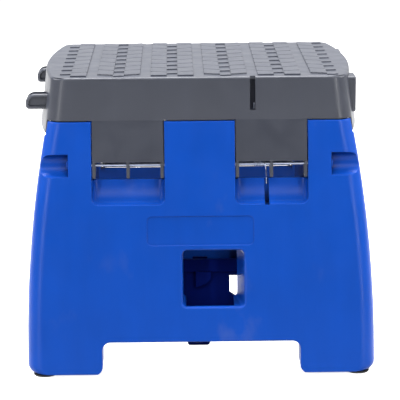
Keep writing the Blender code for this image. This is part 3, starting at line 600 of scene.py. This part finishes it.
def make_tread():
    """The grey moulding: plate, skirts, tabs, ribs, lugs and sockets."""
    shell = bmesh.new()
    rings = [ring(REAR_SKIRT_Z)]
    for k in range(8):
        angle = pi / 2 * k / 7
        rings.append(ring(PLATE_TOP - TOP_EDGE * (1 - sin(angle)), TOP_EDGE * (1 - cos(angle))))
    loft(shell, rings)
    tread = add_mesh("tread_moulding", shell, GREY)
    tools = []

    def apply(name, bm, operation):
        tool = add_mesh(name, bm)
        tools.append(tool)
        boolean(tread, tool, operation)

    pads = bmesh.new()
    for y in (-LINK_Y, LINK_Y):
        lug(pads, y)
        link_pad(pads, 1, y)
    apply("tread_pads", pads, "UNION")
    hollow = bmesh.new()
    loft(hollow, [ring(0.190, WALL), ring(PLATE_TOP - WALL, WALL)])
    apply("tread_hollow", hollow, "DIFFERENCE")
    below = bmesh.new()
    box(below, (-0.2, -0.2, 0.1), (0.2, -0.118, FRONT_SKIRT_Z))
    box(below, (-0.2, -0.119, 0.1), (0.2, 0.097, SIDE_SKIRT_Z))
    apply("tread_below", below, "DIFFERENCE")
    inner = bmesh.new()
    tread_inside(inner)
    apply("tread_inside", inner, "UNION")

    holes = bmesh.new()
    for skirt_z, turn in ((FRONT_SKIRT_Z, 1), (REAR_SKIRT_Z, -1)):
        pin_y, pin_z = pin_position(skirt_z)
        for side in (-1, 1):
            reach = TAB_HALF + 0.002
            cylinder_x(holes, PIN_RADIUS + PLAY, side * TAB_X - reach, side * TAB_X + reach,
                       turn * pin_y, pin_z, 24)
    box(holes, (SLOT_X[0], -0.140, SLOT_Z[0]), (SLOT_X[1], -0.1225, SLOT_Z[1]))
    box(holes, (-SLOT_X[1], 0.1225, SLOT_Z[0]), (-SLOT_X[0], 0.140, SLOT_Z[1]))
    for y in (-LINK_Y, LINK_Y):
        box(holes, (0.140, y - 0.011, LUG_Z[0] - 0.001), (0.170, y + 0.011, LUG_Z[1] + 0.001))
    apply("tread_holes", holes, "DIFFERENCE")
    settle(tread, tools)
    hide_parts("tread")
    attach(tread, "top")


def raised(bm, corners, low, high):
    """A low block with softened upper edges, over a rounded outline."""
    rings = []
    for z, inset in ((low, 0.0), (high - BLOCK_EDGE, 0.0), (high - BLOCK_EDGE * 0.3, BLOCK_EDGE * 0.3),
                     (high, BLOCK_EDGE)):
        middle = Vector((sum(c[0] for c in corners) / 4, sum(c[1] for c in corners) / 4))
        half_x = max(abs(c[0] - middle.x) for c in corners)
        half_y = max(abs(c[1] - middle.y) for c in corners)
        shrunk = [(middle.x + (x - middle.x) * (1 - inset / half_x),
                   middle.y + (y - middle.y) * (1 - inset / half_y), 0.0009) for x, y in corners]
        rings.append([(x, y, z) for x, y in rounded(shrunk, 3)])
    loft(bm, rings)


def make_tread_blocks():
    """Ten columns of raised blocks, and short ties in every other channel."""
    bm = bmesh.new()
    for column in range(10):
        x = (column - 4.5) * COLUMN
        lean = -1 if column % 2 else 1
        first = 0.0 if ((column + 1) // 2) % 2 else ROW / 2
        for row in range(-6, 5):
            low = first + row * ROW + GROOVE / 2
            high = first + (row + 1) * ROW - GROOVE / 2
            if high > -BLOCK_REACH + 0.003 and low < BLOCK_REACH - CHEVRON - 0.003:
                corners = []
                for side, y in ((-1, low), (1, low), (1, high), (-1, high)):
                    run = CHEVRON if side == lean else 0.0
                    corners.append((x + side * BLOCK_HALF, max(-BLOCK_REACH, min(BLOCK_REACH, y + run))))
                raised(bm, corners, PLATE_TOP - 0.0006, STEP_HEIGHT)
    for tie in range(6):
        x = (tie - 2.5) * 2 * COLUMN
        half = COLUMN / 2 - BLOCK_HALF + 0.0004
        for row in range(-4, 5):
            y = row * ROW + (0.0 if tie % 2 else ROW / 2)
            if abs(y) < BLOCK_REACH - 0.003:
                corners = [(x - half, y - TIE_HALF - 0.001), (x + half, y - TIE_HALF + 0.001),
                           (x + half, y + TIE_HALF + 0.001), (x - half, y + TIE_HALF - 0.001)]
                raised(bm, corners, PLATE_TOP - 0.0006, STEP_HEIGHT - 0.0003)
    blocks = settle(add_mesh("tread_blocks", bm, GREY), [])
    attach(blocks, "top")


# ---------------------------------------------------------------- leg panels

def panel_ring(z, inset, back, front=0.0):
    """Horizontal section of an upright panel, its front side edges rounded."""
    half = panel_half_width(z) - inset - front
    radius = FOOT_CORNER - inset
    lift = z - FOOT_Z - inset
    if lift < radius:
        half -= radius - sqrt(radius ** 2 - (radius - lift) ** 2)
    round_ = (SIDE_ROUND if inset < WALL / 2 else INNER_SIDE_ROUND) - inset - front
    corners = [(-half, inset + front, round_), (half, inset + front, round_), (half, back, 0.0),
               (-half, back, 0.0)]
    return [(x, depth, z) for x, depth in rounded(corners, 10)]


def panel_body(bm, top, inset, back, edge=0.0):
    """Skin over horizontal sections, from a panel's foot to `top`; its end edges are rounded."""
    radius = FOOT_CORNER - inset
    low = FOOT_Z + inset
    heights = [low + radius * (1 - cos(pi / 2 * k / 8)) for k in range(9)]
    heights += [STRAIGHT_Z + (top - edge - STRAIGHT_Z) * k / 12 for k in range(13)]
    if edge:
        heights += [low + edge * (1 - cos(pi / 2 * k / 5)) for k in range(1, 6)]
        heights += [top - edge * (1 - cos(pi / 2 * k / 5)) for k in range(5)]
    rings = []
    for z in sorted(heights):
        near = min(z - low, top - z)
        front = edge - sqrt(max(0.0, edge ** 2 - (edge - near) ** 2)) if near < edge else 0.0
        if not rings or z - rings[-1][0][2] > 0.00002:
            rings.append(panel_ring(z, inset, back, front))
    loft(bm, rings)


def cutout_outline(grow):
    """Front view of the gap between the legs, open at the floor."""
    half, top = CUTOUT_HALF + grow, CUTOUT_Z + grow
    low = FOOT_Z - 0.0003
    wide = CUTOUT_HALF + 0.015
    return rounded([(-wide, -0.010, 0.0), (wide, -0.010, 0.0), (wide, low, 0.0),
                    (half, low, CUTOUT_CORNER - grow), (half, top, CUTOUT_CORNER + grow),
                    (-half, top, CUTOUT_CORNER + grow), (-half, low, CUTOUT_CORNER - grow),
                    (-wide, low, 0.0)], 8)


def shear_to_face(bm, skirt_z):
    for vert in bm.verts:
        vert.co.y -= face_distance(vert.co.z, skirt_z)


def scoop(bm, middle, half, pin_z):
    """Finger scoop: a quarter ellipse in section, its sides and lower corners rounded."""
    sections = []
    for side in (-1, 1):
        for k in range(9)[::-side]:
            inward = SCOOP_CORNER * (1 - cos(pi / 2 * k / 8))
            shrink = SCOOP_CORNER * (1 - sin(pi / 2 * k / 8))
            top, height = pin_z - SCOOP_TOP, SCOOP_DROP - SCOOP_TOP - shrink
            depth = SCOOP_DEPTH - shrink
            arc = [(depth * cos(a), top - height * sin(a)) for a in (pi / 2 * k / 14 for k in range(15))]
            outline = [(depth, top + 0.002)] + arc + [(-0.004, top - height), (-0.004, top + 0.002)]
            x = middle + side * (half - inward)
            sections.append([(x, out, z) for out, z in outline])
    loft(bm, sections)


def groove_bows(bm, pin_z):
    """Half round walls behind the pin grooves, to be left out of the hollow."""
    for side in (-1, 1):
        low, high = sorted((side * (GROOVE_END - WALL), side * 0.200))
        bow = [(-0.010, pin_z - 0.0145)]
        bow += [(0.0012 + 0.0128 * cos(a), pin_z + 0.0145 * sin(a))
                for a in (pi * k / 24 - pi / 2 for k in range(25))]
        bow += [(-0.010, pin_z + 0.0145)]
        prism(bm, bow, low, high)


def panel_blocks(bm, skirt_z, rear):
    """Solid blocks behind the face: window frame, scoops, ears, grooves and ribs."""
    pin_z = skirt_z - PIN_DROP
    depth = PANEL_DEPTH
    (x0, z0), (x1, z1) = WINDOW_LOW, WINDOW_HIGH
    box(bm, (x0 - WALL, 0.001, z0 - WALL), (x1 + WALL, depth, z1 + WALL))
    arch = CUTOUT_HALF + WALL
    prism(bm, rounded([(-arch, FOOT_Z + 0.0004, 0.0), (arch, FOOT_Z + 0.0004, 0.0),
                       (arch, CUTOUT_Z + WALL, 0.010), (-arch, CUTOUT_Z + WALL, 0.010)]),
          0.0014, depth - 0.0004, "y")
    if not rear:
        left, right = LATCH_EAR_X
        for low, high in ((left - 0.0034, left), (right, right + 0.0034)):
            box(bm, (low, 0.010, LATCH_Z - 0.006), (high, LATCH_DEPTH + 0.0045, LATCH_Z + 0.006))
    for side in (-1, 1):
        middle = side * TAB_X
        box(bm, (middle - NOTCH_HALF - WALL, 0.001, pin_z - 0.043),
            (middle + NOTCH_HALF + WALL, 0.0175, pin_z - SCOOP_TOP))
        for edge in (-1, 1):
            low, high = sorted((middle + edge * (NOTCH_HALF + 0.0004),
                                middle + edge * (NOTCH_HALF + WALL - 0.0004)))
            box(bm, (low, 0.0014, pin_z - 0.018), (high, 0.024, skirt_z - PANEL_GAP - 0.0006))
        low, high = sorted((side * 0.0296, side * 0.0345))
        box(bm, (low, 0.0014, pin_z - 0.0045), (high, 0.0098, pin_z + 0.0045))
    for x in (-0.140, -0.060, 0.0775, 0.140):
        top = pin_z - 0.040 if abs(x) < 0.120 else pin_z - 0.008
        low = CUTOUT_Z + 0.001 if abs(x) < CUTOUT_HALF else FOOT_Z + 0.001
        box(bm, (x - STIFFENER, 0.002, low), (x + STIFFENER, depth - 0.004, top))


def window_rings():
    """Hand hold: rounded front edge, then tapering towards the back."""
    (x0, z0), (x1, z1) = WINDOW_LOW, WINDOW_HIGH
    rings = mouth(lambda grow: rectangle(WINDOW_LOW, WINDOW_HIGH, 0.0045, grow), 0.0026, 0.0)
    back = rectangle((x0 + 0.001, z0 + 0.0025), (x1 - 0.0065, z1 - 0.002), 0.003)
    return rings + [[(x, PANEL_DEPTH + 0.001, z) for x, z in back]]


def notch_outline(middle, skirt_z, grow):
    """Front view of a tab's notch and the scoop below it, open at the top."""
    half = NOTCH_HALF + grow
    low, high = skirt_z - PIN_DROP - SCOOP_DROP - grow, skirt_z + 0.012
    corner = SCOOP_CORNER + grow
    return rounded([(middle - half, low, corner), (middle + half, low, corner),
                    (middle + half, high, 0.0), (middle - half, high, 0.0)], 10)


def panel_cuts(bm, skirt_z, rear):
    """Everything cut from a panel after its blocks are joined."""
    pin_z = skirt_z - PIN_DROP
    loft(bm, window_rings())
    if not rear:
        (x0, z0), x1 = WINDOW_LOW, WINDOW_HIGH[0]
        box(bm, (x0 + 0.0035, WALL + 0.0008, z0 - 0.0060), (x1 - 0.0100, PANEL_DEPTH + 0.0010, z0 + 0.0045))
    for side in (-1, 1):
        middle = side * TAB_X
        box(bm, (middle - NOTCH_HALF, -0.005, pin_z - 0.0155),
            (middle + NOTCH_HALF, 0.0045, skirt_z + 0.010))
        scoop(bm, middle, NOTCH_HALF - 0.0002, pin_z)
        loft(bm, mouth(lambda grow: notch_outline(middle, skirt_z, grow), 0.0009, 0.0))
        low, high = sorted((side * GROOVE_END, side * 0.200))
        cylinder_x(bm, GROOVE_RADIUS, low, high, -0.0012, pin_z, 48)
        rise = sqrt(GROOVE_RADIUS ** 2 - 0.0012 ** 2) - 0.0001
        loft(bm, mouth(lambda grow: rectangle((low, pin_z - rise), (high, pin_z + rise), 0.0002, grow),
                       0.0008, 0.0))
        cylinder_z(bm, FOOT_BORE, side * FOOT_X, FOOT_BACK, -0.01, 0.012, 16)
    box(bm, (0.0663, -0.004, pin_z - 0.0412), (0.0708, 0.0156, pin_z - 0.0150))
    loft(bm, mouth(cutout_outline, PANEL_EDGE, PANEL_DEPTH + 0.002))
    if not rear:
        def badge(grow):
            return rectangle((-BADGE_HALF, BADGE_Z[0]), (BADGE_HALF, BADGE_Z[1]), 0.005, grow)
        rings = mouth(badge, 0.0005, 0.0)
        rings.append([(x, BADGE_DEPTH - 0.0002, z) for x, z in badge(-0.00003)])
        rings.append([(x, BADGE_DEPTH, z) for x, z in badge(-0.0003)])
        loft(bm, rings)


def latch_bore(bm):
    """Hole for the latch lever's pin, through the lever and the panel's ears."""
    low, high = LATCH_BORE_X
    cylinder_x(bm, LATCH_PIN_RADIUS + PLAY, low, high, JOINTS["latch_pivot"].y, LATCH_Z, 24)


def panel_bores(bm, skirt_z, rear):
    """Holes for the hinge pins, their plugs and the latch lever's pin."""
    pin_y, pin_z = pin_position(skirt_z)
    for side in (-1, 1):
        low, high = sorted((side * (PIN_LOW.x - CLEARANCE), side * (PIN_HIGH.x - 0.006)))
        cylinder_x(bm, PIN_RADIUS + PLAY, low, high, pin_y, pin_z, 24)
        low, high = sorted((side * (GROOVE_END - WALL - 0.003), side * (GROOVE_END + 0.003)))
        cylinder_x(bm, 0.0030, low, high, pin_y, pin_z, 24)
    if not rear:
        latch_bore(bm)


def swing_trim(bm, skirt_z):
    """Clearance arc about the pin, so that the panel can swing under the skirt."""
    pin_z = skirt_z - PIN_DROP
    arc = []
    for k in range(17):
        angle = radians(80) * k / 16
        arc.append((PIN_SETBACK + SWING_RADIUS * cos(angle), pin_z + SWING_RADIUS * sin(angle)))
    outline = [(0.080, pin_z)] + arc + [(arc[-1][0], skirt_z + 0.02), (0.080, skirt_z + 0.02)]
    prism(bm, outline, -0.25, 0.25)


def panel_tool(name, fill, skirt_z, rear, upright=True):
    bm = bmesh.new()
    fill(bm)
    if upright:
        shear_to_face(bm, skirt_z)
    return on_side(add_mesh(name, bm), rear)


def make_panel(body, skirt_z, rear):
    """A leg panel: a tray with a window, scoops, ears and pin grooves."""
    outer = bmesh.new()
    panel_body(outer, skirt_z - PANEL_GAP, 0.0, PANEL_DEPTH, PANEL_EDGE)
    shear_to_face(outer, skirt_z)
    panel = on_side(add_mesh(f"{body}_panel", outer, BLUE), rear)
    hollow = panel_tool("hollow", lambda bm: panel_body(bm, skirt_z + 0.010, WALL, 0.050), skirt_z, rear)
    keep = panel_tool("bows", lambda bm: groove_bows(bm, skirt_z - PIN_DROP), skirt_z, rear)
    boolean(hollow, keep, "DIFFERENCE")
    boolean(panel, hollow, "DIFFERENCE")
    tools = [hollow, keep]
    for label, operation, fill in (("blocks", "UNION", panel_blocks), ("cuts", "DIFFERENCE", panel_cuts),
                                   ("swing", "DIFFERENCE", lambda bm, z, r: swing_trim(bm, z)),
                                   ("bores", "DIFFERENCE", panel_bores)):
        tool = panel_tool(label, lambda bm: fill(bm, skirt_z, rear), skirt_z, rear, label != "bores")
        boolean(panel, tool, operation)
        tools.append(tool)
    settle(panel, tools)
    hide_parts(body)
    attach(panel, body)


# ------------------------------------------------------------- metal and feet

def make_pins():
    """Hinge pins with chamfered ends, inside the boxes of the frame's pins."""
    for end in ("front", "rear"):
        for hand in ("left", "right"):
            name = f"hinge_pin_{end}_{hand}"
            low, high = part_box(name)
            y, z = (low.y + high.y) / 2, (low.z + high.z) / 2
            bm = bmesh.new()
            rings = []
            for x, radius in ((low.x, 0.0011), (low.x + 0.0005, PIN_RADIUS), (high.x - 0.0005, PIN_RADIUS),
                              (high.x, 0.0011)):
                rings.append([(x, y + radius * cos(2 * pi * k / 32), z + radius * sin(2 * pi * k / 32))
                              for k in range(32)])
            loft(bm, rings)
            pin = settle(add_mesh(f"pin_{end}_{hand}", bm, STEEL), [])
            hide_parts(name)
            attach(pin, "top")


def wire(name, points, radius):
    """A wire along the given points, as a closed mesh."""
    curve = bpy.data.curves.new(name, "CURVE")
    curve.dimensions = "3D"
    curve.bevel_depth = radius
    curve.bevel_resolution = 3
    curve.use_fill_caps = True
    spline = curve.splines.new("POLY")
    spline.points.add(len(points) - 1)
    for point, place in zip(spline.points, points):
        point.co = (*place, 1.0)
    holder = bpy.data.objects.new(name + "_curve", curve)
    scene.collection.objects.link(holder)
    graph = bpy.context.evaluated_depsgraph_get()
    mesh = bpy.data.meshes.new_from_object(holder.evaluated_get(graph))
    bpy.data.objects.remove(holder, do_unlink=True)
    bm = bmesh.new()
    bm.from_mesh(mesh)
    bmesh.ops.remove_doubles(bm, verts=bm.verts, dist=0.00001)
    bpy.data.meshes.remove(mesh)
    return settle(add_mesh(name, bm, STEEL), [], 60.0)


def bend(points, steps=5, share=0.35):
    """Soften the inner corners of a line of points."""
    line = [Vector(points[0])]
    for before, here, after in zip(points, points[1:], points[2:]):
        before, here, after = Vector(before), Vector(here), Vector(after)
        reach = min((before - here).length, (after - here).length) * share
        start = here + (before - here).normalized() * reach
        end = here + (after - here).normalized() * reach
        for k in range(steps + 1):
            t = k / steps
            line.append(start * (1 - t) ** 2 + here * 2 * t * (1 - t) + end * t * t)
    return line + [Vector(points[-1])]


def make_springs():
    """Torsion springs about the hinge pins: the coil on the tread, one leg on the panel."""
    for end, skirt_z, rear in (("front", FRONT_SKIRT_Z, False), ("rear", REAR_SKIRT_Z, True)):
        pin_y, pin_z = pin_position(skirt_z)
        start, stop = SPRING_X
        steps = SPRING_TURNS * 24
        coil = []
        for k in range(steps + 13):
            angle = -2 * pi * k / 24
            x = start + (stop - start) * min(k / steps, 1.0)
            coil.append(Vector((x, pin_y + SPRING_RADIUS * cos(angle), pin_z + SPRING_RADIUS * sin(angle))))
        upper = bend([(start, pin_y + 0.0085, skirt_z + 0.016), (start, pin_y + 0.0085, skirt_z + 0.002),
                      (start, pin_y + 0.0040, pin_z + 0.006), tuple(coil[0])])
        spring = on_side(wire(f"spring_coil_{end}", upper[:-1] + coil, SPRING_WIRE), rear)
        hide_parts(f"torsion_spring_{end}")
        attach(spring, "top")
        tail = bend([tuple(coil[-1]), (stop + 0.0006, pin_y - 0.0010, pin_z - 0.0060),
                     (0.0685, pin_y + 0.0070, pin_z - 0.0160), (0.0685, pin_y + 0.0060, pin_z - 0.0225)])
        leg = on_side(wire(f"spring_leg_{end}", tail, SPRING_WIRE), rear)
        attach(leg, f"{end}_leg")


def make_feet():
    """Rounded rubber feet on stems, under the outer corners of the legs."""
    for end in ("front", "rear"):
        for hand in ("left", "right"):
            name = f"foot_{end}_{hand}"
            low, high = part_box(name)
            x, y, radius = (low.x + high.x) / 2, (low.y + high.y) / 2, (high.x - low.x) / 2
            rim = FOOT_Z - 0.0003
            profile = [(radius - 0.0012, low.z), (radius - 0.0005, low.z + 0.0002),
                       (radius - 0.0001, low.z + 0.0006), (radius, low.z + 0.0010), (radius, rim),
                       (FOOT_STEM, rim), (FOOT_STEM, high.z - 0.0005), (FOOT_STEM - 0.0006, high.z)]
            bm = bmesh.new()
            loft(bm, [[(x + r * cos(2 * pi * k / 40), y + r * sin(2 * pi * k / 40), z) for k in range(40)]
                      for r, z in profile])
            foot = settle(add_mesh(f"rubber_{name}", bm, RUBBER), [])
            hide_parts(name)
            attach(foot, f"{end}_leg")


def make_latch():
    """Latch lever behind the hand hold."""
    skirt_z = FRONT_SKIRT_Z
    lever = bmesh.new()
    box(lever, (LATCH_BAR_X[0], LATCH_DEPTH - 0.0020, LATCH_Z - 0.0060),
        (LATCH_BAR_X[1], LATCH_DEPTH + 0.0035, LATCH_Z + 0.0065))
    shear_to_face(lever, skirt_z)
    # Painted shade: the lever takes the darker copy of the blue.
    piece = add_mesh("latch_bar", lever, SHADED_BLUE)
    extra = bmesh.new()
    box(extra, (0.0290, LATCH_DEPTH + 0.0002, LATCH_Z - 0.0105),
        (LATCH_BAR_X[1] - 0.0010, LATCH_DEPTH + 0.0030, LATCH_Z - 0.0050))
    web = [(0.0290, 0.0560), (0.0420, 0.0560), (0.0420, 0.0677), (0.0304, 0.0753), (0.0290, 0.0753)]
    prism(extra, web, LATCH_DEPTH + 0.0006, LATCH_DEPTH + 0.0028, "y")
    boss = [(-0.0050, 0.0815), (0.0060, 0.0850), (0.0110, 0.0900), (0.0110, 0.0975), (-0.0050, 0.0975)]
    prism(extra, boss, LATCH_DEPTH - 0.0040, LATCH_DEPTH + 0.0010, "y")
    box(extra, (-0.0198, LATCH_DEPTH + 0.0004, 0.056), (0.0304, LATCH_DEPTH + 0.0032, LATCH_Z - 0.005))
    (x0, x1), low, high = LATCH_TIP_X, LATCH_TIP_LOW, 0.058
    tip = rounded([(x0, low, 0.003), (x1, low, 0.003), (x1, high, 0.0), (x0, high, 0.0)])
    prism(extra, tip, LATCH_DEPTH + 0.0006, LATCH_DEPTH + 0.0030, "y")
    box(extra, (-0.0080, LATCH_DEPTH + 0.0010, LATCH_Z - 0.0015),
        (0.0080, LATCH_DEPTH + 0.0195, LATCH_Z + 0.0015))
    box(extra, (-0.0078, LATCH_DEPTH + 0.0165, LATCH_Z - 0.0005),
        (0.0078, LATCH_DEPTH + 0.0193, LATCH_Z + 0.0050))
    shear_to_face(extra, skirt_z)
    extra_tool = add_mesh("latch_extra", extra)
    boolean(piece, extra_tool, "UNION")
    bore = bmesh.new()
    latch_bore(bore)
    bore_tool = add_mesh("latch_bore", bore)
    boolean(piece, bore_tool, "DIFFERENCE")
    settle(piece, [extra_tool, bore_tool])
    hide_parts("latch_lever")
    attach(piece, "latch")


def dress_frame():
    """Materials for the CAD nodes that stay in view."""
    slots = {part["node"]: part["material_slot"] for part in frame["record"]["subparts"]}
    for name, obj in frame["nodes"].items():
        obj.data.materials.clear()
        obj.data.materials.append(SLOTS[slots[name]])


dress_frame()
make_tread()
make_tread_blocks()
make_panel("front_leg", FRONT_SKIRT_Z, False)
make_panel("rear_leg", REAR_SKIRT_Z, True)
make_pins()
make_springs()
make_feet()
make_latch()


# ------------------------------------------------------- floor, light, camera

FLOOR_DROP = 0.0004          # keeps the floor clear of the soles


def make_floor():
    bm = bmesh.new()
    bmesh.ops.create_grid(bm, x_segments=1, y_segments=1, size=6.0)
    material = bpy.data.materials.new("studio_floor")
    material.use_nodes = True
    tree = material.node_tree
    shader = tree.nodes["Principled BSDF"]
    place = node(tree, "ShaderNodeTexCoord").outputs["Object"]
    shade = node(tree, "ShaderNodeMix", data_type="RGBA")
    shade.inputs["A"].default_value = (0.90, 0.90, 0.90, 1.0)
    shade.inputs["B"].default_value = (0.94, 0.94, 0.94, 1.0)
    tree.links.new(noise(tree, place, 3.0, 2.0), shade.inputs["Factor"])
    tree.links.new(shade.outputs["Result"], shader.inputs["Base Color"])
    shader.inputs["Roughness"].default_value = 0.9
    shader.inputs["Emission Color"].default_value = (1.0, 1.0, 1.0, 1.0)
    shader.inputs["Emission Strength"].default_value = 0.80
    floor = add_mesh("studio_floor", bm, material)
    floor.location.z = -FLOOR_DROP
    floor.visible_diffuse = False


def area_light(name, place, target, width, height, power):
    light = bpy.data.lights.new(name, "AREA")
    light.shape = "RECTANGLE"
    light.size = width
    light.size_y = height
    light.energy = power
    obj = bpy.data.objects.new(name, light)
    scene.collection.objects.link(obj)
    obj.location = place
    obj.rotation_mode = "QUATERNION"
    obj.rotation_quaternion = (Vector(target) - Vector(place)).to_track_quat("-Z", "Y")


def make_world(strength):
    world = bpy.data.worlds.new("studio")
    scene.world = world
    world.use_nodes = True
    background = world.node_tree.nodes["Background"]
    background.inputs["Color"].default_value = (1.0, 1.0, 1.0, 1.0)
    background.inputs["Strength"].default_value = strength


CAMERA_PLACE = Vector((-0.02569, -2.03505, 0.59900))
CAMERA_PITCH = 0.2183        # radians, looking down
CAMERA_YAW = 0.0135          # towards +X
CAMERA_ROLL = -0.0078
CAMERA_LENS = 171.0          # millimetres, on a 36 mm sensor


def make_camera():
    level = Vector((sin(CAMERA_YAW), cos(CAMERA_YAW), 0.0))
    ahead = level * cos(CAMERA_PITCH) - Vector((0.0, 0.0, sin(CAMERA_PITCH)))
    right = Vector((cos(CAMERA_YAW), -sin(CAMERA_YAW), 0.0))
    up = right.cross(ahead)
    across = right * cos(CAMERA_ROLL) + up * sin(CAMERA_ROLL)
    upward = up * cos(CAMERA_ROLL) - right * sin(CAMERA_ROLL)
    turn = Matrix((across, upward, -ahead)).transposed()
    data = bpy.data.cameras.new("camera")
    data.lens = CAMERA_LENS
    data.sensor_width = 36.0
    data.clip_start, data.clip_end = 0.05, 50.0
    camera = bpy.data.objects.new("camera", data)
    scene.collection.objects.link(camera)
    camera.matrix_world = Matrix.Translation(CAMERA_PLACE) @ turn.to_4x4()
    scene.camera = camera


make_floor()
make_world(0.07)
middle = Vector((0.0, 0.0, STEP_HEIGHT * 0.6))
area_light("overhead", (0.0, 0.40, 1.80), middle, 1.6, 1.2, 78.0)
area_light("high_left", (-0.60, -1.80, 1.90), middle, 1.0, 1.0, 14.5)
area_light("high_right", (0.60, -1.80, 1.90), middle, 1.0, 1.0, 14.5)
area_light("side_left", (-1.60, 0.0, 1.20), middle, 1.2, 1.2, 30.0)
area_light("side_right", (1.60, 0.0, 1.20), middle, 1.2, 1.2, 30.0)
area_light("strip_left", (-1.30, -1.70, 0.60), middle, 0.12, 1.0, 12.0)
area_light("strip_right", (1.30, -1.70, 0.60), middle, 0.12, 1.0, 12.0)
area_light("backdrop", (0.0, 2.30, 0.80), middle, 3.0, 1.5, 12.0)
make_camera()
scene.view_settings.view_transform = "Standard"
